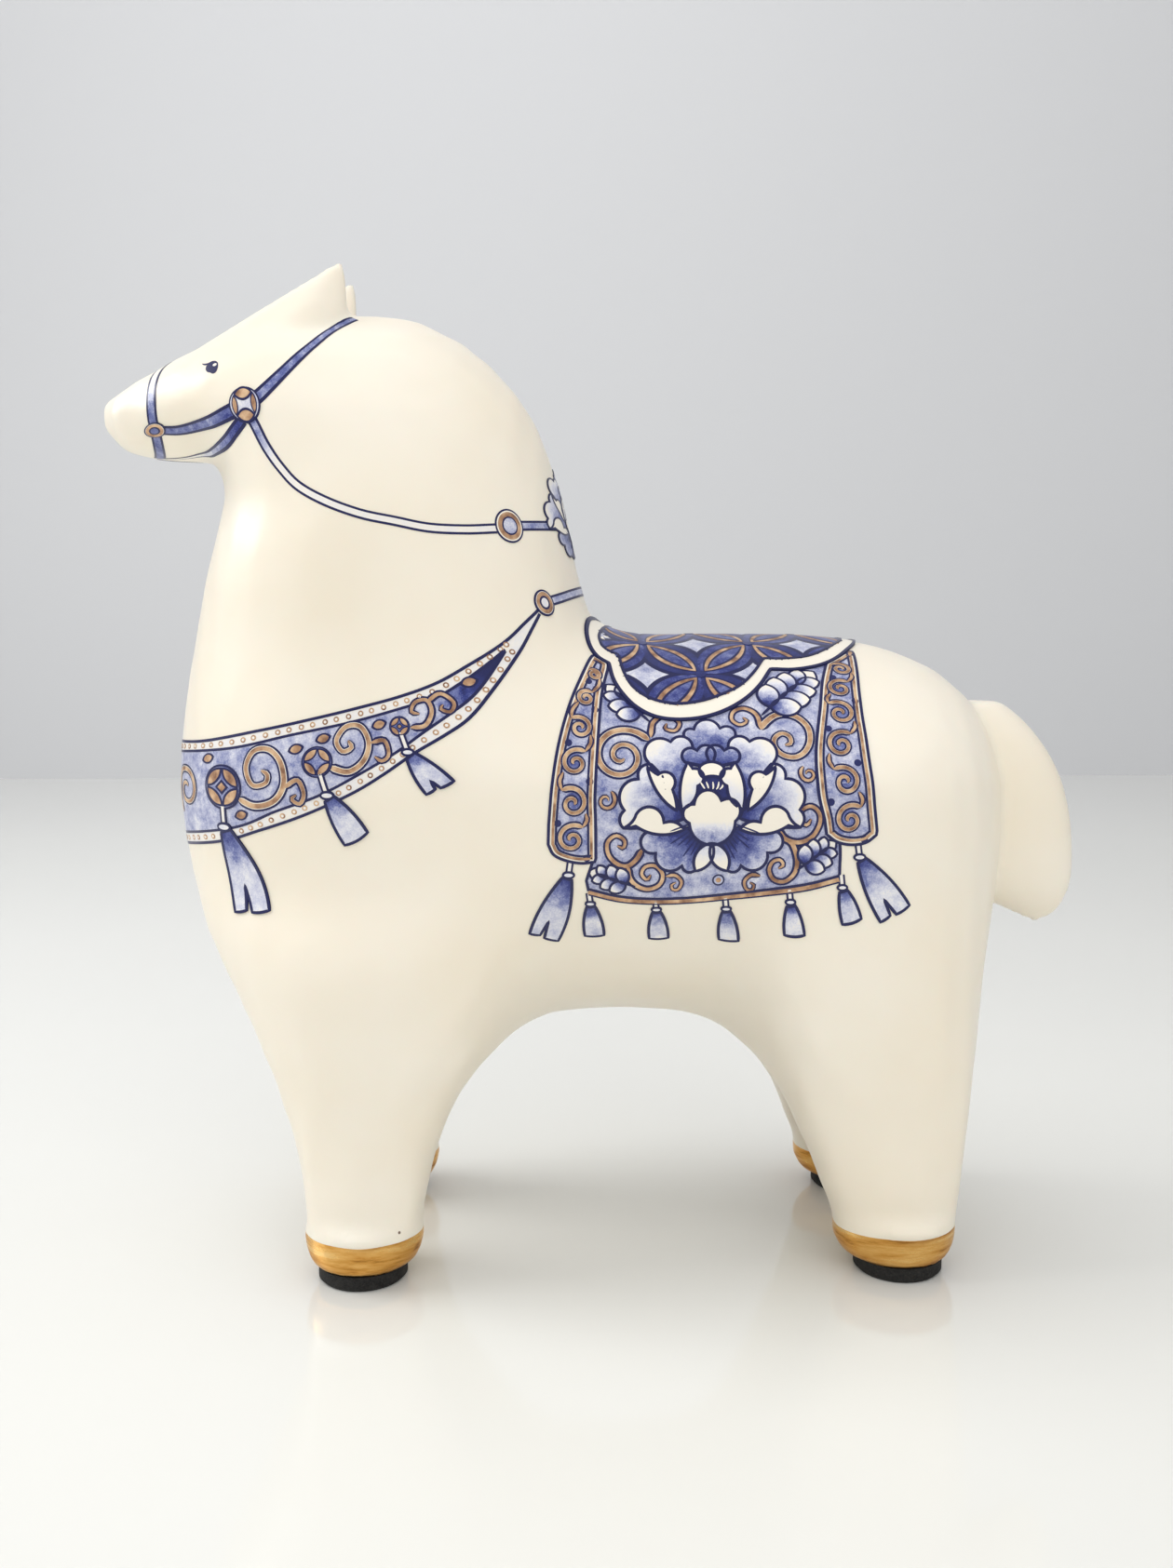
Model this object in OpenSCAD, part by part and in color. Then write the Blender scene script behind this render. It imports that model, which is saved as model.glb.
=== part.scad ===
// Slip-cast porcelain horse figurine with painted tack, gilt hooves and stick-on foot pads.
// The horse faces -X and stands on Z = 0, with its left side towards -Y.

/* [Overall size] */
// Length from muzzle to tail
horse_length = 200; // [150:1:260]
// Height from the foot pads to the ear tips
horse_height = 198.5; // [160:1:250]
// Width across the barrel
body_width = 76.5; // [60:0.5:95]

/* [Porcelain] */
// Thickness of the cast wall
wall = 4; // [3:0.25:5]
// Diameter of the vent hole under the belly
vent_d = 5; // [3:0.5:8]

/* [Feet] */
// Diameter of a foot pad
pad_d = 17.5; // [13:0.5:19]
// Height of a foot pad
pad_h = 3; // [2:0.25:4]
// Bevel round the bottom of a foot pad
pad_bevel = 0.6; // [0.2:0.1:1]
// Height of a gilt hoof
hoof_h = 6.5; // [5:0.5:9]

/* [Ears and tail] */
// Length of an ear from its root along the head to its tip
ear_length = 15; // [12:0.5:18]
// Distance between the two ear tips
ear_spread = 17; // [13:0.5:20]
// Thickness of the tail from side to side
tail_width = 19; // [14:0.5:24]

/* [Painted tack] */
// Thickness of the fired transfer film
film = 0.3; // [0.2:0.05:0.5]
// Width of a bridle or rein strap
strap_w = 1.8; // [1.2:0.1:2.4]
// Diameter of the bridle rosette
rosette_d = 6; // [4:0.5:7]
// Diameter of the eye
eye_d = 2.6; // [2:0.1:4]

/* [Hidden] */

// The design drawing is 200 long, 198.5 high and 76.5 wide. These stretch it to the sizes above.
kx = horse_length / 200;
ky = body_width / 76.5;
kz = horse_height / 198.5;
leg_z = (pad_h + hoof_h) / kz;  // where the porcelain legs end, on the drawing

// Side outline, as points that a smooth curve runs through.
HEAD = [[-100, 170], [-98, 174], [-88, 179.5], [-78, 184.5], [-70, 188], [-61, 190]];
CREST = [[-50, 190.2], [-41, 190], [-33, 187.5], [-25.5, 183], [-19.5, 177.5], [-14.5, 171],
    [-10.5, 162], [-7.5, 151], [-5.3, 141], [-3.4, 133.5], [-1.6, 129.6]];
BACK = [[2, 127.6], [10, 126.4], [30, 126.6], [50, 125.6], [61, 123], [69, 119.3], [76, 113]];
RUMP = [[80.5, 104], [82.5, 92], [82, 79], [79.5, 67], [76.5, 54], [74.5, 41], [73, 29],
    [71.5, 18], [70, 8], [68.5, -4]];
ARCH = [[48, -4], [46, 8], [41, 22], [36.5, 32], [32.5, 38.5], [27, 43.5], [19, 46.8],
    [8, 48.2], [-5, 48], [-15, 46.3], [-23, 42], [-28.5, 36], [-32, 29], [-34.5, 20],
    [-36.5, 8], [-38.5, -4]];
FORELEG = [[-58.5, -4], [-59.5, 8], [-60.2, 17], [-61.8, 27], [-64.8, 37], [-69.2, 47],
    [-74.5, 57]];
CHEST = [[-80.5, 68], [-84.3, 79], [-86.2, 92], [-86, 104], [-84.4, 116], [-82, 129],
    [-79.3, 141], [-76.3, 152], [-75.6, 156.5]];
THROAT = [[-76.5, 159.6], [-79.5, 161], [-86, 161.2], [-92, 161.6], [-96.5, 163.2],
    [-99.2, 166]];
CORNERS = concat(HEAD, CREST, BACK, RUMP, ARCH, FORELEG, CHEST, THROAT);

// Half width, edge rounding and sideways offset of the legs, each against height.
HALF_WIDTH = [[0, 9], [10, 9.5], [30, 12], [45, 18], [60, 27], [80, 37], [100, 39], [125, 34],
    [140, 30], [155, 27], [170, 23], [182, 18], [192, 13]];
ROUNDING = [[0, 11], [10, 11.5], [30, 13.5], [45, 18], [60, 26], [80, 35], [100, 36],
    [125, 33], [140, 31], [155, 29], [170, 24], [182, 17], [192, 11]];
LEG_OFFSET = [[0, 22], [10, 22], [30, 20], [45, 16], [60, 9], [80, 0]];
FORE_X = -48.3;  // middle of a front foot
HIND_X = 58.8;   // middle of a hind foot
FOOT_Y = 22;     // sideways place of every foot
CROTCH = 2;      // softness of the groove between two legs
BELLY_X = 5;     // middle of the belly

// ---- curves -------------------------------------------------------------

function spline(a, b, c, d, t) =
    0.5 * (2 * b + (c - a) * t + (2 * a - 5 * b + 4 * c - d) * t * t
        + (3 * b - a - 3 * c + d) * t * t * t);
function closed_curve(p, steps) =
    let (n = len(p))
    [for (i = [0 : n - 1], j = [0 : steps - 1])
        spline(p[(i + n - 1) % n], p[i], p[(i + 1) % n], p[(i + 2) % n], j / steps)];
function open_curve(p, steps) =
    let (n = len(p))
    [for (i = [0 : n - 2], j = [0 : i == n - 2 ? steps : steps - 1])
        spline(p[max(i - 1, 0)], p[i], p[i + 1], p[min(i + 2, n - 1)], j / steps)];
function bend(a, b, c, t) = (1 - t) * (1 - t) * a + 2 * t * (1 - t) * b + t * t * c;
function ease(from, to, v) =
    let (t = min(max((v - from) / (to - from), 0), 1))
    t * t * (3 - 2 * t);

// ---- the body's form ----------------------------------------------------

SIDE = closed_curve(CORNERS, 3);

function gap2(p, a, b) =
    let (ab = b - a, t = min(max((p - a) * ab / (ab * ab), 0), 1), q = p - a - t * ab)
    q * q;
function crosses(p, a, b) =
    (a.y > p.y) != (b.y > p.y) && p.x < (b.x - a.x) * (p.y - a.y) / (b.y - a.y) + a.x ? 1 : 0;

// How far a point of the side view lies inside the outline, negative outside it.
function depth(p) =
    let (
        n = len(SIDE),
        gaps = [for (i = [0 : n - 1]) gap2(p, SIDE[i], SIDE[(i + 1) % n])],
        hits = [for (i = [0 : n - 1]) crosses(p, SIDE[i], SIDE[(i + 1) % n])],
        total = hits * [for (h = hits) 1]
    )
    sqrt(min(gaps)) * (total % 2 == 1 ? 1 : -1);

function headness(p, from, to) = ease(from, to, p.x) * ease(150, 160, p.y);
function half_width(p) =
    let (
        chest = ease(10, -80, p.x) * ease(60, 80, p.y) * ease(150, 120, p.y),
        head = headness(p, -58, -98),
        muzzle = 10.5 + 4 * ease(-98, -70, p.x)
    )
    lookup(p.y, HALF_WIDTH) * (1 - 0.2 * chest) * (1 - head) + muzzle * head;
function rounding(p) =
    let (head = headness(p, -52, -74), muzzle = 8 + 5 * ease(-98, -70, p.x))
    lookup(p.y, ROUNDING) * (1 - head) + muzzle * head;
function leg_offset(p) = lookup(p.y, LEG_OFFSET) * ease(14, 34, abs(p.x - BELLY_X));

// Depth, rounding, half width and offset at a point of the side view.
function form(p) = [depth(p), rounding(p), half_width(p), leg_offset(p)];

// Half the body's width there, or 0 outside the outline.
function side_y(p) =
    let (f = form(p), u = min(max(1 - f[0] / f[1], 0), 1))
    f[0] <= 0 ? 0 : f[3] + f[2] * sqrt(1 - u * u);

// Positive inside the form, once it is taken in by inset.
function level(f, y, inset) =
    let (
        r = max(f[1] - inset, 4),
        u = max(1 - (f[0] - inset) / r, 0),
        v = (sqrt(y * y + CROTCH * CROTCH) - f[3]) / (f[2] - inset)
    )
    1 - sqrt(u * u + v * v);

// Where the form's surface is, going from p along direction v in a horizontal slice.
function reach(p, v, near = 0, far = 40, turns = 14) =
    let (mid = (near + far) / 2, q = p + v * mid)
    turns == 0 ? mid
    : level(form([q.x, q.z]), q.y, 0) > 0 ? reach(p, v, mid, far, turns - 1)
    : reach(p, v, near, mid, turns - 1);

// ---- meshes, each as [points, triangles] --------------------------------

function real(p) = [p.x * kx, p.y * ky, p.z * kz];
function shifted(faces, n) = [for (f = faces) [for (i = f) i + n]];
function joined(meshes, i = 0) =
    i == len(meshes) - 1 ? meshes[i]
    : let (rest = joined(meshes, i + 1))
        [concat(meshes[i][0], rest[0]), concat(meshes[i][1], shifted(rest[1], len(meshes[i][0])))];
function split_quad(q, pts) =
    norm(pts[q[0]] - pts[q[2]]) <= norm(pts[q[1]] - pts[q[3]])
        ? [[q[0], q[1], q[2]], [q[0], q[2], q[3]]]
        : [[q[0], q[1], q[3]], [q[1], q[2], q[3]]];

module solid(mesh) {
    polyhedron(points = mesh[0], faces = mesh[1], convexity = 8);
}

// Closed rings of equal length, one after the other, with a fan over each end.
function loft(rings) =
    let (
        n = len(rings[0]),
        last = len(rings) - 1,
        flat = [for (r = rings) each r],
        middle = function (r) [for (k = [0 : 2]) [for (p = r) p[k]] * [for (p = r) 1] / n],
        pts = concat(flat, [middle(rings[0]), middle(rings[last])]),
        foot = len(flat),
        sides = [for (i = [0 : last - 1], j = [0 : n - 1])
            each split_quad([i * n + j, (i + 1) * n + j, (i + 1) * n + (j + 1) % n, i * n + (j + 1) % n], pts)]
    )
    [pts, concat(
        sides,
        [for (j = [0 : n - 1]) [foot, j, (j + 1) % n]],
        [for (j = [0 : n - 1]) [foot + 1, last * n + (j + 1) % n, last * n + j]]
    )];

// The surface where level() is zero, as one vertex in each grid cell that it passes through.
BITS = [for (x = [0, 1], y = [0, 1], z = [0, 1]) [x, y, z]];
CELL_EDGES = [[0, 1], [2, 3], [4, 5], [6, 7], [0, 2], [1, 3], [4, 6], [5, 7], [0, 4], [1, 5],
    [2, 6], [3, 7]];

function skin(xs, ys, zs, inset) =
    let (
        nx = len(xs),
        ny = len(ys),
        nz = len(zs),
        table = [for (x = xs) [for (z = zs) form([x, z])]],
        g = [for (i = [0 : nx - 1]) [for (j = [0 : ny - 1]) [for (k = [0 : nz - 1])
            k == 0 ? -1 : level(table[i][k], ys[j], inset)]]],
        cells = [for (i = [0 : nx - 2], j = [0 : ny - 2], k = [0 : nz - 2])
            cell_point(g, xs, ys, zs, i, j, k)],
        rank = [for (n = 0, s = 0; n < len(cells); s = s + (cells[n] ? 1 : 0), n = n + 1) s],
        at = function (i, j, k) rank[(i * (ny - 1) + j) * (nz - 1) + k],
        pts = [for (c = cells) if (c) c],
        quads = [for (i = [0 : nx - 2], j = [0 : ny - 2], k = [0 : nz - 2])
            let (here = g[i][j][k] > 0)
            each [
                if (j > 0 && k > 0 && here != (g[i + 1][j][k] > 0))
                    turned([at(i, j - 1, k - 1), at(i, j - 1, k), at(i, j, k), at(i, j, k - 1)], here),
                if (i > 0 && k > 0 && here != (g[i][j + 1][k] > 0))
                    turned([at(i - 1, j, k - 1), at(i, j, k - 1), at(i, j, k), at(i - 1, j, k)], here),
                if (i > 0 && j > 0 && here != (g[i][j][k + 1] > 0))
                    turned([at(i - 1, j - 1, k), at(i - 1, j, k), at(i, j, k), at(i, j - 1, k)], here)
            ]]
    )
    [[for (p = pts) real(p)], [for (q = quads) each split_quad(q, pts)]];

function turned(q, here) = here ? q : [q[3], q[2], q[1], q[0]];
function cell_point(g, xs, ys, zs, i, j, k) =
    let (v = [for (b = BITS) g[i + b.x][j + b.y][k + b.z]])
    max(v) <= 0 || min(v) > 0 ? undef
    : let (
        lo = [xs[i], ys[j], zs[k]],
        size = [xs[i + 1], ys[j + 1], zs[k + 1]] - lo,
        cuts = [for (e = CELL_EDGES) if ((v[e[0]] > 0) != (v[e[1]] > 0))
            let (t = v[e[0]] / (v[e[0]] - v[e[1]]), b = BITS[e[0]] + t * (BITS[e[1]] - BITS[e[0]]))
            [b.x * size.x, b.y * size.y, b.z * size.z]],
        walls = k > 0 ? cuts : [for (c = cuts) if (c.z == size.z) c],
        used = len(walls) > 0 ? walls : cuts,
        sum = [for (m = [0 : 2]) [for (c = used) c[m]] * [for (c = used) 1] / len(used)]
    )
    k == 0 ? [lo.x + sum.x, lo.y + sum.y, zs[0]] : lo + sum;

function steps(from, to, n) = [for (i = [0 : n - 1]) from + (to - from) * i / n];
function both_ways(v) = concat([for (i = [len(v) - 1 : -1 : 0]) -v[i]], v);

// ---- transfer films on the body -----------------------------------------

// A sheet over rows of points of the side view, from the left side over y = 0 if wrap is set.
function on_side(p) = real([p.x, -side_y(p), p.y]);
function mirrored(p) = [p.x, -p.y, p.z];
function outward(rows, i, j) =
    let (
        n = len(rows) - 1,
        m = len(rows[0]) - 1,
        a = rows[min(i + 1, n)][j] - rows[max(i - 1, 0)][j],
        b = rows[i][min(j + 1, m)] - rows[i][max(j - 1, 0)],
        c = cross(a, b)
    )
    c / max(norm(c), 1e-6);
function sheet(rows, t = film) =
    let (
        n = len(rows),
        m = len(rows[0]),
        lower = [for (r = rows) each r],
        upper = [for (i = [0 : n - 1], j = [0 : m - 1]) rows[i][j] + t * outward(rows, i, j)],
        pts = concat(lower, upper),
        top = n * m,
        tiles = [for (i = [0 : n - 2], j = [0 : m - 2])
            [i * m + j, (i + 1) * m + j, (i + 1) * m + j + 1, i * m + j + 1]],
        rim = concat(
            [for (j = [0 : m - 2]) [j, j + 1]],
            [for (i = [0 : n - 2]) [i * m + m - 1, (i + 1) * m + m - 1]],
            [for (j = [m - 1 : -1 : 1]) [(n - 1) * m + j, (n - 1) * m + j - 1]],
            [for (i = [n - 1 : -1 : 1]) [i * m, (i - 1) * m]]
        )
    )
    [pts, concat(
        [for (q = tiles) each split_quad(q, pts)],
        [for (q = tiles) each split_quad([q[3] + top, q[2] + top, q[1] + top, q[0] + top], pts)],
        [for (e = rim) each split_quad([e[0], e[1], e[1] + top, e[0] + top], pts)]
    )];
function left_sheet(rows) = sheet([for (r = rows) [for (p = r) on_side(p)]]);
function right_mesh(mesh) = [[for (p = mesh[0]) mirrored(p)], [for (f = mesh[1]) [f[2], f[1], f[0]]]];

// Rows that start on the outline, drawn on both sides of the horse as one sheet.
function wrapped_sheet(rows) =
    sheet([for (r = rows)
        let (left = [for (p = r) on_side(p)], n = len(r))
        concat([for (i = [n - 1 : -1 : 1]) left[i]], [real([r[0].x, 0, r[0].y])],
            [for (i = [1 : n - 1]) mirrored(left[i])])]);

// A strap of width w along points of the side view.
function strap(path, w) =
    let (n = len(path) - 1)
    left_sheet([for (s = [-1, 0, 1]) [for (i = [0 : n])
        let (
            d = path[min(i + 1, n)] - path[max(i - 1, 0)],
            across = [-d.y, d.x] / norm(d)
        )
        path[i] + s * w / 2 * across]]);

// A round badge of diameter d about a point of the side view.
function facing(p, e = 0.5) =
    let (
        c = cross(on_side(p + [e, 0]) - on_side(p - [e, 0]),
            on_side(p + [0, e]) - on_side(p - [0, e]))
    )
    c / norm(c);
function badge(centre, d, sides = 14) =
    let (out = film * facing(centre))
    loft([for (r = [[0.5, 0], [1, 0], [1, 1], [0.5, 1]])
        [for (i = [0 : sides - 1])
            on_side(centre + r[0] * d / 2 * [cos(360 * i / sides), sin(360 * i / sides)])
                + r[1] * out]]);

// A tassel hanging from a knot, as a strip that widens to its tip.
function tassel(knot, tip, wide) =
    let (d = tip - knot, across = [-d.y, d.x] / norm(d))
    left_sheet([for (s = [-1, 0, 1]) [for (t = [0, 0.25, 0.6, 1])
        knot + t * d + s * (0.25 + 0.75 * t) * wide / 2 * across]]);

// ---- outlines of the painted tack ---------------------------------------

SEAT_FROM = 0.5;
SEAT_TO = 50.5;
SEAT_EDGE = [[0, 121], [3, 115.2], [8, 111.5], [15, 110.8], [22, 112.4], [28.5, 116.5],
    [31.5, 119.6], [36.5, 119.8], [42, 120.6], [47, 122.6], [51, 124.6]];

// Uprights of the saddle cloth, each bent from its top over a middle point to its foot.
FLAP_FRONT = [[-3, 122.5], [-11.5, 108], [-11, 86.5]];
CLOTH_FRONT = [[0.5, 119.8], [-4, 104], [-4.3, 79.8]];
CLOTH_REAR = [[42.3, 119.6], [34, 102], [42.5, 81.8]];
FLAP_REAR = [[49.8, 121.6], [46, 108], [48.8, 89.8]];
FLAP_GAP = 0.4;  // bare glaze between a flap and the cloth
FLAP_DROP = 0.86;  // share of the cloth's height that a flap reaches down

COLLAR_TOP = [[-86, 105.2], [-77, 106.2], [-65, 108.7], [-56, 110.7], [-47, 112.8],
    [-38.5, 115.2], [-32, 117.6], [-25.5, 121], [-20, 124.6], [-14, 130]];
COLLAR_FOOT = [[-85.4, 84], [-75, 86.9], [-65, 90], [-56, 93.4], [-47, 97.6], [-41.5, 101],
    [-36, 104.6], [-29, 109.2], [-22, 115.6], [-14.4, 127]];
COLLAR_RING = [-12.6, 131.8];
COLLAR_RING_D = 4;

REIN = [[-66, 165.4], [-63.7, 161.3], [-61, 157.4], [-57.5, 153.9], [-52, 151], [-45.5, 148.6],
    [-39.5, 147.3], [-33, 146.2], [-26.7, 145.9], [-22.6, 146.1]];
REIN_RING = [-18.3, 146.8];
REIN_RING_D = 6.6;
REIN_END = [[-14, 147.3], [-12.4, 147.5], [-11.2, 147.7]];
FLOWER_LOW = [[-5.6, 142.6], [-7.4, 142], [-9.8, 143.8]];
FLOWER_HIGH = [[-8, 153.5], [-9.9, 154], [-11.8, 151.6]];

ROSETTE = [-67.4, 169.2];
BIT_RING = [-87.1, 165.9];
BIT_RING_D = 4;
NOSEBAND = [[-87.6, 176.6], [-87.3, 172.6], [-87.1, 168.4]];
CHIN_STRAP = [[-87.3, 163.4], [-87.8, 162.2]];
CHEEK_STRAP = [[-84.6, 165.6], [-79, 166.1], [-74, 166.7], [-70.9, 167.7]];
JAW_STRAP = [[-68.6, 165.6], [-70.6, 163.9], [-74, 162.6], [-78, 162.1], [-82.5, 162.1]];
HEADSTALL = [[-64.5, 171.3], [-60.7, 175.4], [-56.5, 180.5], [-52.7, 184.6], [-49.6, 187.4]];
EYE = [-74.5, 176.9];

CLOTH_KNOTS = [[-3.9, 78.6], [8.7, 76.6], [21.7, 76.6], [33.4, 78.4], [42.6, 80.6]];
CLOTH_TASSEL = [0.3, -7];  // reach of a small tassel along the body and down
SPLIT_TASSELS = [[[-7.8, 85], [-14.6, 73]], [[-7.8, 85], [-9.5, 71.5]],
    [[46.2, 88.2], [54, 77.6]], [[46.2, 88.2], [49.6, 75]]];
COLLAR_TASSELS = [[[-74.2, 86.4], [-68, 73]], [[-52.5, 94.2], [-46.8, 88.6]],
    [[-37.6, 102.8], [-32, 97.6]]];

function upright(c, t) = bend(c[0], c[1], c[2], t);
function between(a, b, across, down) =
    [for (v = down) [for (u = across) (1 - u) * upright(a, v) + u * upright(b, v)]];

// ---- the pieces ---------------------------------------------------------

IVORY = [0.93, 0.91, 0.86];
COBALT = [0.24, 0.30, 0.60];
PALE_BLUE = [0.80, 0.83, 0.92];
GILT = [0.85, 0.65, 0.32];
BLACK = [0.06, 0.06, 0.06];
INK = [0.05, 0.07, 0.25];

// The hollow casting, open only at the vent hole under the belly.
module body_shell() {
    outer_x = concat(steps(-103, -63, 10), steps(-63, -13, 10), steps(-13, 3, 4),
        steps(3, 85, 16), [85]);
    outer_y = both_ways(steps(2.5, 47.5, 9));
    outer_z = concat([leg_z, leg_z + 0.5], steps(14, 124, 22), steps(124, 136, 4),
        steps(136, 160, 5), steps(160, 192, 8), [192, 196]);
    inner_x = concat(steps(-104, -64, 6), steps(-64, 86, 19), [86]);
    inner_y = both_ways(steps(4, 44, 5));
    inner_z = concat([leg_z + wall / kz, leg_z + wall / kz + 1], steps(22, 158, 17),
        steps(158, 194, 6), [194]);
    color(IVORY)
    difference() {
        solid(skin(outer_x, outer_y, outer_z, 0));
        solid(skin(inner_x, inner_y, inner_z, wall));
        translate([BELLY_X * kx, 0, 40 * kz])
            cylinder(h = 20 * kz, d = vent_d, $fn = 48);
    }
}

// The tail's outer edge, from the croup down to its lowest point.
TAIL_EDGE = [[70, 119], [76, 117], [80.3, 114.4], [84.7, 111.8], [88, 109.2], [91.2, 105.7],
    [94.4, 101.4], [97, 96.2], [98.9, 89.3], [99.8, 82.1], [100, 76.3], [99.6, 73.5],
    [98.6, 70.4], [96.7, 67.7], [94.4, 66.3], [92.2, 65.9]];
TAIL_ROOT = [71.2, 115.6]; // lowest and highest place where the tail meets the rump
TAIL_ROUND = 8;            // height over which its foot rounds in
// Half width at each height, as a share of the full half width.
TAIL_SIDES = [[66, 0.62], [72, 0.7], [78, 0.85], [86, 0.96], [92, 1], [100, 0.95],
    [107, 0.8], [114, 0.5]];

// The tail, cast apart and luted to the rump: each ring's inner side lies on the rump.
module tail() {
    edge = [for (i = [len(TAIL_EDGE) - 1 : -1 : 0]) [TAIL_EDGE[i].y, TAIL_EDGE[i].x]];
    foot = edge[0][0];
    head = TAIL_ROOT[1];
    rings = [for (t = concat([0, 0.01, 0.035, 0.075, 0.13], steps(0.19, 1, 12)))
        let (
            z = foot + (head - foot) * t,
            seat = TAIL_ROOT[0] + (head - TAIL_ROOT[0]) * t,
            s = 1 - min((z - foot) / TAIL_ROUND, 1),
            b = tail_width / ky / 2 * lookup(z, TAIL_SIDES) * (0.12 + 0.88 * sqrt(1 - s * s)),
            root = 60 + reach([60, 0, seat], [1, 0, 0]),
            tip = lookup(z, edge)
        )
        concat(
            [for (a = [-90 : 15 : 90])
                [root + (tip - root) * cos(a), b * sin(a), seat + (z - seat) * cos(a)]],
            [for (y = [0.8, 0.4, 0, -0.4, -0.8])
                [60 + reach([60, b * y, seat], [1, 0, 0]), b * y, seat]]
        )];
    color(IVORY) solid(loft([for (r = rings) [for (p = r) real(p)]]));
}

EAR_ROOT = [-58.5, -7.5];  // middle of the left ear's base, seen from above
EAR_BASE = [8.2, 4.6];     // half length and half width of the base

// An ear stands on the head, with its base on the skin and a shallow dish on its outer face.
module left_ear() {
    color(IVORY) solid(ear_mesh());
}

module right_ear() {
    color(IVORY) solid(right_mesh(ear_mesh()));
}

function top_z(x, y, near = 0, far = 40, turns = 12) =
    let (mid = (near + far) / 2, z = 165 + mid)
    turns == 0 ? z
    : level(form([x, z]), y, 0) > 0 ? top_z(x, y, mid, far, turns - 1)
    : top_z(x, y, near, mid, turns - 1);
function ear_mesh() =
    let (
        tip = [-66.2 + ear_length / kx, -ear_spread / 2 / ky, 198.5],
        base = [for (a = [0 : 22.5 : 337.5])
            let (x = EAR_ROOT.x + EAR_BASE.x * cos(a), y = EAR_ROOT.y + EAR_BASE.y * sin(a))
            [x, y, top_z(x, y)]],
        rings = [for (t = [0, 0.25, 0.5, 0.72, 0.88, 0.97, 1])
            [for (i = [0 : 15])
                let (
                    s = sqrt(1 - t * t) * 0.25 + 0.75 * (1 - t),
                    dish = 1.3 * sin(180 * t) * max(cos(22.5 * i + 70), 0),
                    on_axis = (1 - t) * [EAR_ROOT.x, EAR_ROOT.y, base[i].z] + t * tip
                )
                on_axis + [
                    (s + 0.03) * EAR_BASE.x * cos(22.5 * i) * (1 - 0.15 * t),
                    (s + 0.03) * EAR_BASE.y * sin(22.5 * i) + dish * (1 - t),
                    0
                ]]]
    )
    loft([for (r = rings) [for (p = r) real(p)]]);

// A gilt hoof carries on from the leg's own section and rounds in to the pad.
module hoof(x, side) {
    centre = [x, side * FOOT_Y, leg_z];
    color(GILT)
    solid(loft([for (t = [0, 0.12, 0.3, 0.55, 0.8, 1])
        [for (a = [0 : 15 : 345])
            let (
                v = [cos(a), sin(a), 0],
                leg = reach(centre, v, 0, 20),
                edge = real(centre + v * leg),
                middle = real(centre),
                pad = pad_d / 2 * v,
                k = sqrt(1 - (1 - t) * (1 - t))
            )
            [middle.x, middle.y, pad_h + t * hoof_h]
                + k * [edge.x - middle.x, edge.y - middle.y, 0] + (1 - k) * pad]]));
}

module front_left_hoof() { hoof(FORE_X, -1); }
module front_right_hoof() { hoof(FORE_X, 1); }
module rear_left_hoof() { hoof(HIND_X, -1); }
module rear_right_hoof() { hoof(HIND_X, 1); }

// A round pad that keeps the glaze off the shelf.
module pad(x, side) {
    color(BLACK)
    translate([x * kx, side * FOOT_Y * ky, 0])
        rotate_extrude($fn = 96)
            polygon([[0, 0], [pad_d / 2 - pad_bevel, 0], [pad_d / 2, pad_bevel],
                [pad_d / 2, pad_h], [0, pad_h]]);
}

module front_left_pad() { pad(FORE_X, -1); }
module front_right_pad() { pad(FORE_X, 1); }
module rear_left_pad() { pad(HIND_X, -1); }
module rear_right_pad() { pad(HIND_X, 1); }

// The seat lies over the back, down to its scalloped edge on both sides.
module saddle_seat() {
    rows = [for (i = [0 : 20])
        let (x = SEAT_FROM + (SEAT_TO - SEAT_FROM) * i / 20, crest = back_z(x))
        [for (s = [0 : 1 / 8 : 1]) [x, crest - (crest - lookup(x, SEAT_EDGE)) * s * s]]];
    color(COBALT) solid(wrapped_sheet(rows));
}

function back_z(x, low = 100, high = 140, turns = 12) =
    let (mid = (low + high) / 2)
    turns == 0 ? mid
    : depth([x, mid]) > 0 ? back_z(x, mid, high, turns - 1)
    : back_z(x, low, mid, turns - 1);

// The cloth hangs below the seat, with a narrow flap in front of it and one behind.
function cloth() = left_sheet(between(CLOTH_FRONT, CLOTH_REAR, shares(12), shares(10)));
function front_flap() =
    left_sheet(between(FLAP_FRONT, moved(CLOTH_FRONT, -FLAP_GAP), shares(3), flap_shares()));
function rear_flap() =
    left_sheet(between(moved(CLOTH_REAR, FLAP_GAP), FLAP_REAR, shares(3), flap_shares()));
function shares(n) = [for (i = [0 : n]) i / n];
function flap_shares() = [for (v = shares(9)) v * FLAP_DROP];
function moved(c, dx) = [for (p = c) [p.x + dx, p.y]];

module left_saddle_cloth() { color(PALE_BLUE) solid(cloth()); }
module right_saddle_cloth() { color(PALE_BLUE) solid(right_mesh(cloth())); }
module left_front_flap() { color(COBALT) solid(front_flap()); }
module right_front_flap() { color(COBALT) solid(right_mesh(front_flap())); }
module left_rear_flap() { color(COBALT) solid(rear_flap()); }
module right_rear_flap() { color(COBALT) solid(right_mesh(rear_flap())); }

function cloth_tassels() =
    joined(concat(
        [for (k = CLOTH_KNOTS) tassel(k, k + CLOTH_TASSEL, 3.4)],
        [for (t = SPLIT_TASSELS) tassel(t[0], t[1], 3.4)]
    ));

module left_cloth_tassels() { color(COBALT) solid(cloth_tassels()); }
module right_cloth_tassels() { color(COBALT) solid(right_mesh(cloth_tassels())); }

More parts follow.
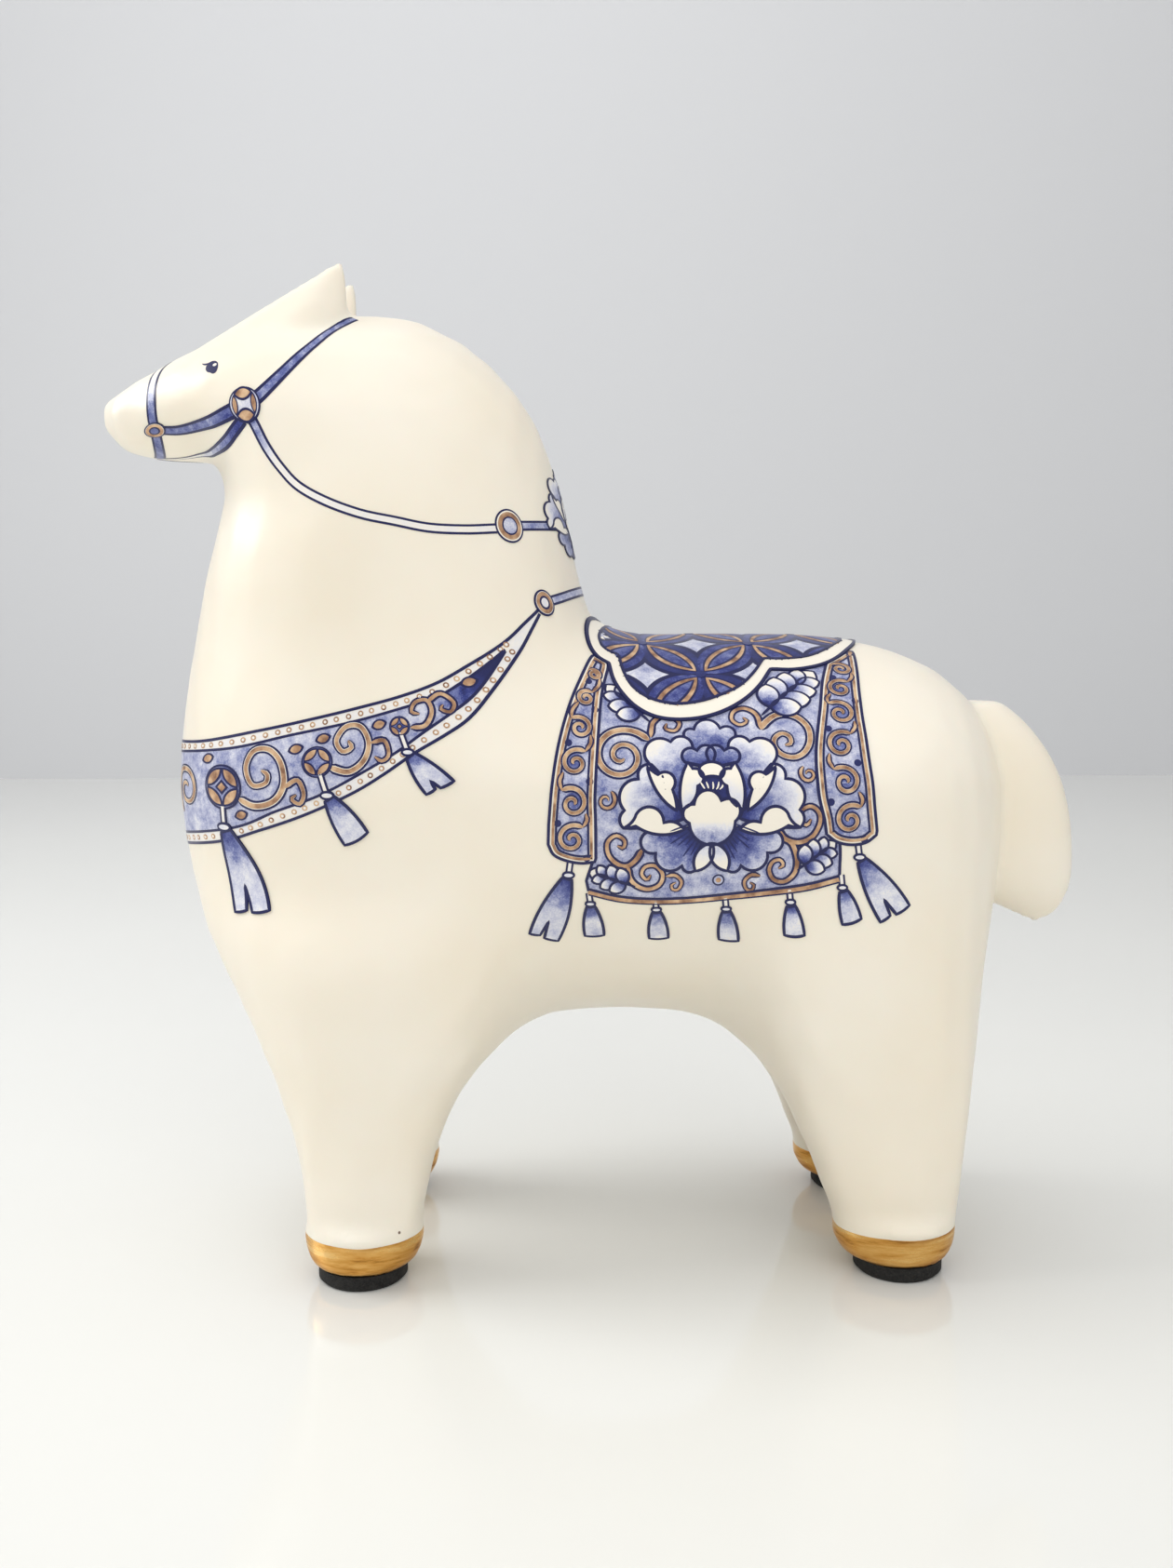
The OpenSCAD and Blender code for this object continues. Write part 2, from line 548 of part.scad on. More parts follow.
// The breast collar runs round the chest and narrows to a ring at each shoulder.
module breast_collar() {
    top = open_curve(COLLAR_TOP, 2);
    foot = open_curve(COLLAR_FOOT, 2);
    n = len(top) - 1;
    near = [for (i = [0 : n]) let (t = i / n) n * t * (0.35 + 0.65 * t)];
    rows = [for (v = shares(4))
        let (front = (1 - v) * top[0] + v * foot[0], slip = chest_x(front.y) - front.x)
        [for (c = near)
            let (i = min(floor(c), n - 1), f = c - i)
            (1 - v) * ((1 - f) * top[i] + f * top[i + 1])
                + v * ((1 - f) * foot[i] + f * foot[i + 1])
                + [slip * max(1 - c / 3, 0), 0]]];
    ring = badge(COLLAR_RING, COLLAR_RING_D);
    color(COBALT) solid(joined([wrapped_sheet(rows), ring, right_mesh(ring)]));
}

function chest_x(z) = -45 - reach([-45, 0, z], [-1, 0, 0], 0, 60);

module collar_tassels() {
    left = joined([for (t = COLLAR_TASSELS) tassel(t[0], t[1], 4.4)]);
    color(COBALT) solid(joined([left, right_mesh(left)]));
}

// Noseband, cheek, jaw and head straps, with a rosette and a bit ring on each side.
module bridle() {
    left = joined([
        for (path = [NOSEBAND, CHIN_STRAP, CHEEK_STRAP, JAW_STRAP, HEADSTALL])
            strap(open_curve(path, 2), strap_w),
        badge(ROSETTE, rosette_d),
        badge(BIT_RING, BIT_RING_D)
    ]);
    color(COBALT) solid(joined([left, right_mesh(left)]));
}

module reins() {
    left = joined([
        strap(open_curve(REIN, 2), strap_w),
        badge(REIN_RING, REIN_RING_D),
        strap(REIN_END, strap_w)
    ]);
    color(COBALT) solid(joined([left, right_mesh(left)]));
}

// A flower over the crest of the neck, where the two reins meet.
module neck_flower() {
    rows = [for (v = shares(6)) [for (t = [0, 0.06, 0.16, 0.3, 0.5, 0.75, 1])
        let (
            low = bend(FLOWER_LOW[0], FLOWER_LOW[1], FLOWER_LOW[2], t),
            high = bend(FLOWER_HIGH[0], FLOWER_HIGH[1], FLOWER_HIGH[2], t)
        )
        (1 - v) * high + v * low]];
    color(COBALT) solid(wrapped_sheet(rows));
}

module left_eye() { color(INK) solid(badge(EYE, eye_d)); }
module right_eye() { color(INK) solid(right_mesh(badge(EYE, eye_d))); }

body_shell();
tail();
left_ear();
right_ear();
front_left_hoof();
front_right_hoof();
rear_left_hoof();
rear_right_hoof();
front_left_pad();
front_right_pad();
rear_left_pad();
rear_right_pad();
saddle_seat();
left_saddle_cloth();
right_saddle_cloth();
left_front_flap();
left_rear_flap();
right_front_flap();
right_rear_flap();
left_cloth_tassels();
right_cloth_tassels();
breast_collar();
collar_tassels();
bridle();
reins();
neck_flower();
left_eye();
right_eye();
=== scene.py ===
# %% [markdown]
# # A porcelain horse with painted tack
# This shelf figure is a hollow casting in cream white porcelain, about 200 mm long.
# Its bridle, collar and saddle cloth are blue and gold drawings fired onto the glaze,
# its hooves are gilt, and it stands on four black foam pads.
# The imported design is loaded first, and every piece below is made around it.

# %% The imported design
import math

import bmesh
import bpy
import numpy as np
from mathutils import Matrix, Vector
from mathutils.bvhtree import BVHTree
from mathutils.geometry import delaunay_2d_cdt
from mathutils.kdtree import KDTree


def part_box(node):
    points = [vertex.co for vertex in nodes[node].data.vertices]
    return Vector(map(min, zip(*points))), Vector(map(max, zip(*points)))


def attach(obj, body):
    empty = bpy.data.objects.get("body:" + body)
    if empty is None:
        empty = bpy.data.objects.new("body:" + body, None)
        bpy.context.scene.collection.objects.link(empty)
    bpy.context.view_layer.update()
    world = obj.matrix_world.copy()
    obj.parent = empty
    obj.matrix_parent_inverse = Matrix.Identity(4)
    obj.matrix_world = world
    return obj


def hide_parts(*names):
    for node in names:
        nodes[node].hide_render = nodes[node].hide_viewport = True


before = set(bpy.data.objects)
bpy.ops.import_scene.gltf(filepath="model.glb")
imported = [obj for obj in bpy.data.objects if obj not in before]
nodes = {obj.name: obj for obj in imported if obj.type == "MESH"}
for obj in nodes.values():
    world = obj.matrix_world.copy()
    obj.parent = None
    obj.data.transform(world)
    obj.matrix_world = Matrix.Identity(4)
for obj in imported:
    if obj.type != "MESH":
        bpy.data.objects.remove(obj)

MM = 0.001
scene = bpy.context.scene
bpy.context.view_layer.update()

# %% [markdown]
# ## Camera
# The horse is seen from its left side, from a little above its back, by a camera that
# stands close. The far legs then hide behind the near ones, as they do for a person
# who looks at the figure on a table.

# %% Camera
CAMERA_AT = (-0.01325, -0.290, 0.126)
CAMERA_TILT, CAMERA_TURN = 84.0, -2.0   # degrees
LENS, SENSOR = 32.05, 36.0              # millimetres

lens = bpy.data.cameras.new("camera")
lens.lens, lens.sensor_width = LENS, SENSOR
camera = bpy.data.objects.new("camera", lens)
camera.location = CAMERA_AT
camera.rotation_euler = (math.radians(CAMERA_TILT), 0, math.radians(CAMERA_TURN))
scene.collection.objects.link(camera)
scene.camera = camera
print("camera at", CAMERA_AT)

# %% [markdown]
# ## Helpers for materials
# Colours are given as a painter mixes them on screen, from 0 to 255, and turned into
# the linear values that a shader works with.

# %% Colour and node helpers
def tint(red, green, blue):
    """A linear colour from the 0 to 255 values seen on a screen."""
    def linear(c):
        c /= 255
        return c / 12.92 if c <= 0.04045 else ((c + 0.055) / 1.055) ** 2.4
    return (linear(red), linear(green), linear(blue), 1.0)


def new_material(name, colour, roughness, metallic=0.0, **sockets):
    """A Principled material, with its nodes, its shader and its plain socket values."""
    made = bpy.data.materials.new(name)
    made.use_nodes = True
    made.diffuse_color = colour
    shader = made.node_tree.nodes["Principled BSDF"]
    shader.inputs["Base Color"].default_value = colour
    shader.inputs["Roughness"].default_value = roughness
    shader.inputs["Metallic"].default_value = metallic
    for socket, value in sockets.items():
        shader.inputs[socket.replace("_", " ")].default_value = value
    return made, made.node_tree, shader


def add(tree, kind, **values):
    """A node with its properties and its input sockets set by name."""
    node = tree.nodes.new(kind)
    for key, value in values.items():
        if key in node.inputs:
            node.inputs[key].default_value = value
        else:
            setattr(node, key, value)
    return node


def ramp(tree, factor, stops):
    """A colour ramp through (place, colour) stops, read by factor."""
    node = tree.nodes.new("ShaderNodeValToRGB")
    row = node.color_ramp.elements
    row[0].position, row[0].color = stops[0]
    row[1].position, row[1].color = stops[-1]
    for place, colour in stops[1:-1]:
        row.new(place).color = colour
    tree.links.new(factor, node.inputs["Fac"])
    return node.outputs["Color"]


def maths(tree, operation, first, second, clamp=False):
    """One sum on two sockets or numbers."""
    node = tree.nodes.new("ShaderNodeMath")
    node.operation, node.use_clamp = operation, clamp
    for slot, value in enumerate((first, second)):
        if isinstance(value, (int, float)):
            node.inputs[slot].default_value = value
        else:
            tree.links.new(value, node.inputs[slot])
    return node.outputs[0]


def bump(tree, shader, height, strength, distance):
    """Feeds a height to the shader's normal."""
    node = add(tree, "ShaderNodeBump", Strength=strength, Distance=distance)
    tree.links.new(height, node.inputs["Height"])
    tree.links.new(node.outputs["Normal"], shader.inputs["Normal"])

print("material helpers ready")

# %% [markdown]
# ## Shared surface effects
# Two effects come back in several finishes. "fine_grain" is the small unevenness of a
# fired or moulded surface, and "mottle" is the slow change of tone across a piece.
# Each is a node group, so each material can place it with its own size.

# %% Node groups
def effect(name, inputs, outputs):
    """An empty node group with float inputs and the named outputs."""
    group = bpy.data.node_groups.new(name, "ShaderNodeTree")
    for label, start in inputs:
        socket = group.interface.new_socket(name=label, in_out="INPUT", socket_type="NodeSocketFloat")
        socket.default_value = start
    for label in outputs:
        group.interface.new_socket(name=label, in_out="OUTPUT", socket_type="NodeSocketFloat")
    return group, group.nodes.new("NodeGroupInput"), group.nodes.new("NodeGroupOutput")


def grain_group():
    """Fine noise at two sizes, in the object's own metres."""
    group, given, result = effect(
        "fine_grain", [("Scale", 2000.0), ("Coarse Share", 0.4)], ["Grain"])
    place = group.nodes.new("ShaderNodeTexCoord")
    fine = add(group, "ShaderNodeTexNoise", Detail=2.0, Roughness=0.6)
    coarse = add(group, "ShaderNodeTexNoise", Detail=1.0)
    for noise in (fine, coarse):
        group.links.new(place.outputs["Object"], noise.inputs["Vector"])
    group.links.new(given.outputs["Scale"], fine.inputs["Scale"])
    group.links.new(maths(group, "MULTIPLY", given.outputs["Scale"], 0.22), coarse.inputs["Scale"])
    share = given.outputs["Coarse Share"]
    broad = maths(group, "MULTIPLY", coarse.outputs["Fac"], share)
    sharp = maths(group, "MULTIPLY", fine.outputs["Fac"], maths(group, "SUBTRACT", 1.0, share))
    group.links.new(maths(group, "ADD", broad, sharp), result.inputs["Grain"])
    return group


def mottle_group():
    """Slow clouds of tone, centred on 0.5 and widened by Contrast."""
    group, given, result = effect("mottle", [("Scale", 40.0), ("Contrast", 1.0)], ["Tone"])
    place = group.nodes.new("ShaderNodeTexCoord")
    clouds = add(group, "ShaderNodeTexNoise", Detail=3.0, Roughness=0.5)
    group.links.new(place.outputs["Object"], clouds.inputs["Vector"])
    group.links.new(given.outputs["Scale"], clouds.inputs["Scale"])
    centred = maths(group, "SUBTRACT", clouds.outputs["Fac"], 0.5)
    wide = maths(group, "MULTIPLY", centred, given.outputs["Contrast"])
    group.links.new(maths(group, "ADD", wide, 0.5, clamp=True), result.inputs["Tone"])
    return group


fine_grain, mottle = grain_group(), mottle_group()


def place_effect(tree, group, **values):
    """One use of a shared effect: the output socket of the group."""
    node = tree.nodes.new("ShaderNodeGroup")
    node.node_tree = group
    for key, value in values.items():
        node.inputs[key.replace("_", " ")].default_value = value
    return node.outputs[0]

print("effects:", fine_grain.name, mottle.name)

# %% [markdown]
# ## Porcelain
# The body is cream white and has a satin glaze: it shines softly, with a faint orange
# peel that breaks up the reflections, and here and there an iron speck from the clay.

# %% Porcelain finish
CREAM, CREAM_WARM, SPECK = tint(243, 236, 221), tint(239, 229, 209), tint(120, 100, 84)


def porcelain_material():
    made, tree, shader = new_material(
        "satin_porcelain", CREAM, 0.34, Coat_Weight=0.12, Coat_Roughness=0.16,
        Subsurface_Weight=0.06, Subsurface_Scale=0.004)
    tone = place_effect(tree, mottle, Scale=28.0, Contrast=1.6)
    body = ramp(tree, tone, [(0.2, CREAM), (0.85, CREAM_WARM)])
    place = tree.nodes.new("ShaderNodeTexCoord")
    spots = add(tree, "ShaderNodeTexVoronoi", Scale=75.0)
    tree.links.new(place.outputs["Object"], spots.inputs["Vector"])
    near = maths(tree, "LESS_THAN", spots.outputs["Distance"], 0.022)
    picked = maths(tree, "GREATER_THAN", tree_channel(tree, spots.outputs["Color"]), 0.955)
    mix = add(tree, "ShaderNodeMix", data_type="RGBA")
    tree.links.new(maths(tree, "MULTIPLY", near, picked), mix.inputs["Factor"])
    tree.links.new(body, mix.inputs[6])
    mix.inputs[7].default_value = SPECK
    tree.links.new(mix.outputs[2], shader.inputs["Base Color"])
    grain = place_effect(tree, fine_grain, Scale=900.0, Coarse_Share=0.7)
    tree.links.new(ramp(tree, grain, [(0.3, (0.3, 0.3, 0.3, 1)), (0.7, (0.42, 0.42, 0.42, 1))]),
                   shader.inputs["Roughness"])
    bump(tree, shader, grain, 0.10, 0.0003)
    return made


def tree_channel(tree, colour):
    """The red channel of a colour socket."""
    split = tree.nodes.new("ShaderNodeSeparateColor")
    tree.links.new(colour, split.inputs["Color"])
    return split.outputs["Red"]


PORCELAIN = porcelain_material()
print("made", PORCELAIN.name)

# %% [markdown]
# ## One smooth skin
# The design gives the casting in facets of about five millimetres. Three steps turn
# them into the smooth skin of a glazed casting. Each part is subdivided so that its
# smooth surface still passes through the design's own points. A voxel remesh then
# joins body, tail, ears and hooves, as the potter's slip does. A few passes of
# smoothing that don't shrink the form melt the joints.

# %% Reading and subdividing a part of the design
VENT_X, VENT_REACH = 0.005, 0.0027   # the vent hole under the belly, and its radius


def welded(name):
    """A design node as a bmesh, with its corners joined."""
    bm = bmesh.new()
    bm.from_mesh(nodes[name].data)
    bmesh.ops.remove_doubles(bm, verts=bm.verts, dist=0.01 * MM)
    return bm


def pair_triangles(bm):
    bmesh.ops.join_triangles(bm, faces=bm.faces, angle_face_threshold=0.6, angle_shape_threshold=1.4)


def keep_outer_skin(bm):
    """Takes out the vent's wall and the inside of the casting, and closes the hole."""
    def in_vent(v):
        return math.hypot(v.co.x - VENT_X, v.co.y) < VENT_REACH and 0.03 < v.co.z < 0.07
    wall = [f for f in bm.faces if all(in_vent(v) for v in f.verts)]
    bmesh.ops.delete(bm, geom=wall, context="FACES")
    start = max(bm.verts, key=lambda v: v.co.z)
    outer, front = {start}, [start]
    while front:
        for edge in front.pop().link_edges:
            for v in edge.verts:
                if v not in outer:
                    outer.add(v)
                    front.append(v)
    bmesh.ops.delete(bm, geom=[v for v in bm.verts if v not in outer], context="VERTS")
    bmesh.ops.holes_fill(bm, edges=[e for e in bm.edges if e.is_boundary])
    ring = [v for v in bm.verts if in_vent(v)]
    bmesh.ops.dissolve_verts(bm, verts=ring[::2])


def points_of(mesh):
    flat = np.empty(len(mesh.vertices) * 3)
    mesh.vertices.foreach_get("co", flat)
    return flat.reshape(-1, 3)


def evaluated(obj):
    """The object's mesh with its modifiers applied."""
    graph = bpy.context.evaluated_depsgraph_get()
    return bpy.data.meshes.new_from_object(obj.evaluated_get(graph))


def smooth_through(bm, levels):
    """A subdivided mesh whose smooth surface passes through the bmesh's own points."""
    mesh = bpy.data.meshes.new("draft")
    bm.to_mesh(mesh)
    draft = bpy.data.objects.new("draft", mesh)
    scene.collection.objects.link(draft)
    wanted = points_of(mesh)
    cage = wanted.copy()
    divide = draft.modifiers.new("divide", "SUBSURF")
    divide.levels = 1
    for _ in range(4):
        mesh.vertices.foreach_set("co", cage.ravel())
        mesh.update()
        limit = points_of(evaluated(draft))[: len(wanted)]
        cage += 0.8 * (wanted - limit)
    mesh.vertices.foreach_set("co", cage.ravel())
    divide.levels = levels
    smooth = evaluated(draft)
    bpy.data.objects.remove(draft)
    return smooth

shell = welded("body_shell")
keep_outer_skin(shell)
pair_triangles(shell)
body_smooth = smooth_through(shell, 2)
print("outer skin:", len(shell.verts), "points, smooth:", len(body_smooth.vertices))

# %% The small parts that join the body
JOINED = ["tail", "left_ear", "right_ear", "front_left_hoof", "front_right_hoof",
          "rear_left_hoof", "rear_right_hoof"]
SINK = 1.2 * MM          # how far a part's root is pushed into the body
NEAR_BODY = 0.5 * MM
VOXEL = 1.0 * MM

body_surface = BVHTree.FromPolygons(
    [v.co for v in body_smooth.vertices], [p.vertices[:] for p in body_smooth.polygons])


def sunk(name):
    """A part of the design with its root pushed into the body, so that no gap is left."""
    bm = welded(name)
    pair_triangles(bm)
    for v in bm.verts:
        spot, normal, _, distance = body_surface.find_nearest(v.co)
        if distance < NEAR_BODY:
            v.co -= normal * SINK
    return bm


def joined_object(meshes):
    """One object that holds all the meshes."""
    bm = bmesh.new()
    for mesh in meshes:
        bm.from_mesh(mesh)
    mesh = bpy.data.meshes.new("casting")
    bm.to_mesh(mesh)
    made = bpy.data.objects.new("casting", mesh)
    scene.collection.objects.link(made)
    return made

BROW = ((-80, 4, 182.4), (-80, 8, 181.4), (-78, 6, 183.4))


def brow_ramp(name, side):
    """An ear's front edge carried straight down to the brow, as one pinch of clay."""
    bm = bmesh.new()
    for v in welded(name).verts:
        bm.verts.new(v.co)
    for x, y, z in BROW:
        bm.verts.new((x * MM, side * y * MM, z * MM))
    bmesh.ops.convex_hull(bm, input=bm.verts)
    bmesh.ops.delete(bm, geom=[v for v in bm.verts if not v.link_faces], context="VERTS")
    bmesh.ops.recalc_face_normals(bm, faces=bm.faces)
    mesh = bpy.data.meshes.new(name + " ramp")
    bm.to_mesh(mesh)
    return mesh

parts = [body_smooth, brow_ramp("left_ear", -1), brow_ramp("right_ear", 1)]
for name in JOINED:
    parts.append(smooth_through(sunk(name), 2 if "hoof" in name else 1))
casting = joined_object(parts)
remesh = casting.modifiers.new("one skin", "REMESH")
remesh.mode, remesh.voxel_size = "VOXEL", VOXEL
skin = evaluated(casting)
bpy.data.objects.remove(casting)
print("one skin:", len(skin.vertices), "points,", len(skin.polygons), "faces")

# %% Smoothing without shrinking
SMOOTH_PASSES, PUSH, PULL = 9, 0.55, -0.57


def relaxed(mesh, passes):
    """Moves each point towards its neighbours and back out again, passes times over."""
    ends = np.empty(len(mesh.edges) * 2, int)
    mesh.edges.foreach_get("vertices", ends)
    a, b = ends.reshape(-1, 2).T
    count = len(mesh.vertices)
    degree = np.bincount(a, minlength=count) + np.bincount(b, minlength=count)
    at = points_of(mesh)
    for _ in range(passes):
        for share in (PUSH, PULL):
            near = np.empty_like(at)
            for k in range(3):
                near[:, k] = (np.bincount(a, at[b, k], count) + np.bincount(b, at[a, k], count))
            at = at + share * (near / degree[:, None] - at)
    mesh.vertices.foreach_set("co", at.ravel())
    mesh.update()

relaxed(skin, SMOOTH_PASSES)
skin_points = points_of(skin)
flat = np.empty(len(skin.vertices) * 3)
skin.vertex_normals.foreach_get("vector", flat)
skin_normals = flat.reshape(-1, 3)
skin_faces = [p.vertices[:] for p in skin.polygons]
skin_tree = BVHTree.FromPolygons(skin_points.tolist(), skin_faces)
print("skin box:", skin_points.min(0).round(4), skin_points.max(0).round(4))

# %% [markdown]
# ## Parting the skin again
# The casting, tail, ears and gilt hooves are separate pieces in the design, so the one
# skin is cut again where they meet. Every piece keeps the whole skin's normals, and
# the cuts don't show under the glaze.

# %% Cutting the skin into its pieces
HOOF_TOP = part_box("front_left_hoof")[1].z
RIM_DEPTH = 1.2 * MM
skin_lookup = KDTree(len(skin_points))
for index, point in enumerate(skin_points):
    skin_lookup.insert(point, index)
skin_lookup.balance()


def finish_piece(name, bm, material):
    """Turns a cut piece's rims in under the glaze, closes it and gives it the whole skin's normals."""
    grown = bmesh.ops.extrude_edge_only(bm, edges=[e for e in bm.edges if e.is_boundary])["geom"]
    for point in grown:
        if isinstance(point, bmesh.types.BMVert):
            point.co -= Vector(skin_normals[skin_lookup.find(point.co)[1]]) * RIM_DEPTH
    bmesh.ops.holes_fill(bm, edges=[e for e in bm.edges if e.is_boundary])
    bmesh.ops.recalc_face_normals(bm, faces=bm.faces)
    mesh = bpy.data.meshes.new(name)
    bm.to_mesh(mesh)
    for face in mesh.polygons:
        face.use_smooth = True
    normals = [skin_normals[skin_lookup.find(v.co)[1]] for v in mesh.vertices]
    mesh.normals_split_custom_set_from_vertices(normals)
    mesh.materials.append(material)
    piece = bpy.data.objects.new(name, mesh)
    scene.collection.objects.link(piece)
    return piece


def surface_of(name):
    bm = welded(name)
    return BVHTree.FromBMesh(bm)


def owner_of_faces(bm):
    """For each face of the skin, the name of the piece that it belongs to."""
    surfaces = {name: surface_of(name) for name in JOINED[:3]}
    boxes = {name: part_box(name) for name in JOINED}
    owners = {}
    for face in bm.faces:
        spot = face.calc_center_median()
        owners[face] = "body"
        if spot.z < HOOF_TOP:
            end = "front" if spot.x < 0 else "rear"
            side = "left" if spot.y < 0 else "right"
            owners[face] = f"{end}_{side}_hoof"
            continue
        for name, surface in surfaces.items():
            low, high = boxes[name]
            if all(low[k] - MM < spot[k] < high[k] + MM for k in range(3)):
                to_part = surface.find_nearest(spot)[3]
                to_body = body_surface.find_nearest(spot)[3]
                if to_part < to_body:
                    owners[face] = name
    return owners


whole = bmesh.new()
whole.from_mesh(skin)
bmesh.ops.bisect_plane(
    whole, geom=list(whole.verts) + list(whole.edges) + list(whole.faces),
    plane_co=(0, 0, HOOF_TOP), plane_no=(0, 0, 1), dist=0.05 * MM)
owners = owner_of_faces(whole)
labels = {face.index: owners[face] for face in whole.faces}


def cut_out(owner):
    bm = whole.copy()
    bm.faces.ensure_lookup_table()
    away = [f for f in bm.faces if labels[f.index] != owner]
    bmesh.ops.delete(bm, geom=away, context="FACES")
    return bm

print({name: list(labels.values()).count(name) for name in sorted(set(labels.values()))})
# %% Gilt and rubber finishes
def gilt_material():
    """Worn burnished gold: bright metal with brown brush marks round the hoof."""
    made, tree, shader = new_material("burnished_gilt", tint(232, 180, 96), 0.28, 1.0)
    place = tree.nodes.new("ShaderNodeTexCoord")
    stretch = add(tree, "ShaderNodeMapping")
    stretch.inputs["Scale"].default_value = (90, 90, 620)
    tree.links.new(place.outputs["Object"], stretch.inputs["Vector"])
    strokes = add(tree, "ShaderNodeTexNoise", Scale=1.0, Detail=5.0, Roughness=0.65)
    tree.links.new(stretch.outputs["Vector"], strokes.inputs["Vector"])
    worn = ramp(tree, strokes.outputs["Fac"], [
        (0.28, tint(150, 96, 42)), (0.42, tint(212, 156, 78)),
        (0.6, tint(232, 186, 112)), (0.8, tint(244, 210, 150))])
    tree.links.new(worn, shader.inputs["Base Color"])
    rough = ramp(tree, strokes.outputs["Fac"], [(0.3, (0.5, 0.5, 0.5, 1)), (0.6, (0.26, 0.26, 0.26, 1))])
    tree.links.new(rough, shader.inputs["Roughness"])
    grain = place_effect(tree, fine_grain, Scale=1500.0, Coarse_Share=0.5)
    bump(tree, shader, maths(tree, "ADD", grain, strokes.outputs["Fac"]), 0.25, 0.0002)
    return made


def foam_material():
    """Black foam rubber with tiny open cells."""
    made, tree, shader = new_material("black_foam", tint(22, 22, 22), 0.85)
    grain = place_effect(tree, fine_grain, Scale=3000.0, Coarse_Share=0.3)
    tree.links.new(ramp(tree, grain, [(0.35, tint(8, 8, 8)), (0.7, tint(44, 43, 41))]),
                   shader.inputs["Base Color"])
    bump(tree, shader, grain, 0.6, 0.0003)
    return made


GILT, FOAM = gilt_material(), foam_material()
print("made", GILT.name, FOAM.name)

# %% Placing the casting's pieces
casting_pieces = {
    "porcelain_body": ("body", "body_shell", PORCELAIN, "porcelain"),
    "porcelain_tail": ("tail", "tail", PORCELAIN, "porcelain"),
    "porcelain_left_ear": ("left_ear", "left_ear", PORCELAIN, "porcelain"),
    "porcelain_right_ear": ("right_ear", "right_ear", PORCELAIN, "porcelain"),
}
for corner in ("front_left", "front_right", "rear_left", "rear_right"):
    casting_pieces[f"gilt_{corner}_hoof"] = (f"{corner}_hoof", f"{corner}_hoof", GILT, "gilt")

for name, (owner, node, material, slot) in casting_pieces.items():
    piece = finish_piece(name, cut_out(owner), material)
    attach(piece, "root")
    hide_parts(node)
    print(name, len(piece.data.polygons), "faces")

for corner in ("front_left", "front_right", "rear_left", "rear_right"):
    pad = nodes[f"{corner}_pad"]
    pad.data.materials.clear()
    pad.data.materials.append(FOAM)
# %% [markdown]
# ## Drawing on the glaze
# The tack is a transfer: a flat drawing, soaked off its paper, laid on the glaze and
# fired. It is made the same way here. Each motif is drawn flat in millimetres, with
# washes, pen lines and gold. The flat drawing is then wrapped round the horse by rays
# cast onto the skin, and becomes a film a few hundredths of a millimetre thick.
# What lies higher in the drawing is lifted a little more, so nothing flickers.

# %% Curves in the flat
PEN = 0.56         # width of a pen line
STEP = 0.5         # spacing of the points along a line
ROW_WIDTH = 0.75   # a wider line than this gets more rows of faces, so that it can bend
MESH_STEP = 1.15   # spacing of the points inside a wash
COBALT_INK, GOLD_INK = 0, 1


def spread(points, step=STEP):
    """The same line with points at an even step."""
    points = np.asarray(points, float)
    gaps = np.linalg.norm(np.diff(points, axis=0), axis=1)
    along = np.concatenate([[0], np.cumsum(gaps)])
    count = max(2, int(round(along[-1] / step)) + 1)
    at = np.linspace(0, along[-1], count)
    return np.stack([np.interp(at, along, points[:, k]) for k in (0, 1)], 1)


def curve(*points, step=STEP):
    """A smooth line through the given points."""
    p = np.asarray(points, float)
    p = np.vstack([2 * p[0] - p[1], p, 2 * p[-1] - p[-2]])
    t = np.linspace(0, 1, 12, endpoint=False)[:, None]
    runs = []
    for a, b, c, d in zip(p[:-3], p[1:-2], p[2:-1], p[3:]):
        runs.append(b + 0.5 * t * (c - a + t * (2 * a - 5 * b + 4 * c - d + t * (3 * (b - c) + d - a))))
    runs.append(p[-2][None])
    return spread(np.vstack(runs), step)


def arc(start, end, bulge, step=STEP):
    """A round arc that stands bulge times its chord to the left of the way on, on paper."""
    start, end = np.asarray(start, float), np.asarray(end, float)
    if abs(bulge) < 0.01:
        return spread([start, end], step)
    chord = end - start
    t = np.linspace(-1, 1, 17)[:, None]
    half = 2 * math.atan(2 * bulge)
    across = np.array([chord[1], -chord[0]]) / (2 * math.sin(half))
    angle = half * t
    middle = (start + end) / 2
    return spread(middle + chord / 2 * np.sin(angle) / math.sin(half)
                  + across * (np.cos(angle) - math.cos(half)), step)


def outline(*corners, step=STEP):
    """A closed outline of arcs: each corner is (across, down, bulge of the way to the next)."""
    runs = []
    for (x, y, bulge), (x2, y2, _) in zip(corners, corners[1:] + corners[:1]):
        runs.append(arc((x, y), (x2, y2), bulge, step)[:-1])
    return np.vstack(runs)


def spiral(centre, start_radius, end_radius, start_angle, sweep, step=STEP):
    """A line that winds in: angles in degrees, 0 to the right and 90 down."""
    t = np.linspace(0, 1, 80)
    angle = np.radians(start_angle + sweep * t)
    radius = start_radius + (end_radius - start_radius) * t ** 0.8
    return spread(np.stack([centre[0] + radius * np.cos(angle), centre[1] + radius * np.sin(angle)], 1), step)


def circle(centre, radius, stretch=1.0, step=STEP):
    t = np.linspace(0, 2 * math.pi, max(12, int(2 * math.pi * radius / step)), endpoint=False)
    return np.stack([centre[0] + radius * np.cos(t), centre[1] + radius * stretch * np.sin(t)], 1)


def lens(a, b, bulge, step=STEP):
    """A pointed leaf shape between two points."""
    return outline((*a, bulge), (*b, bulge), step=step)


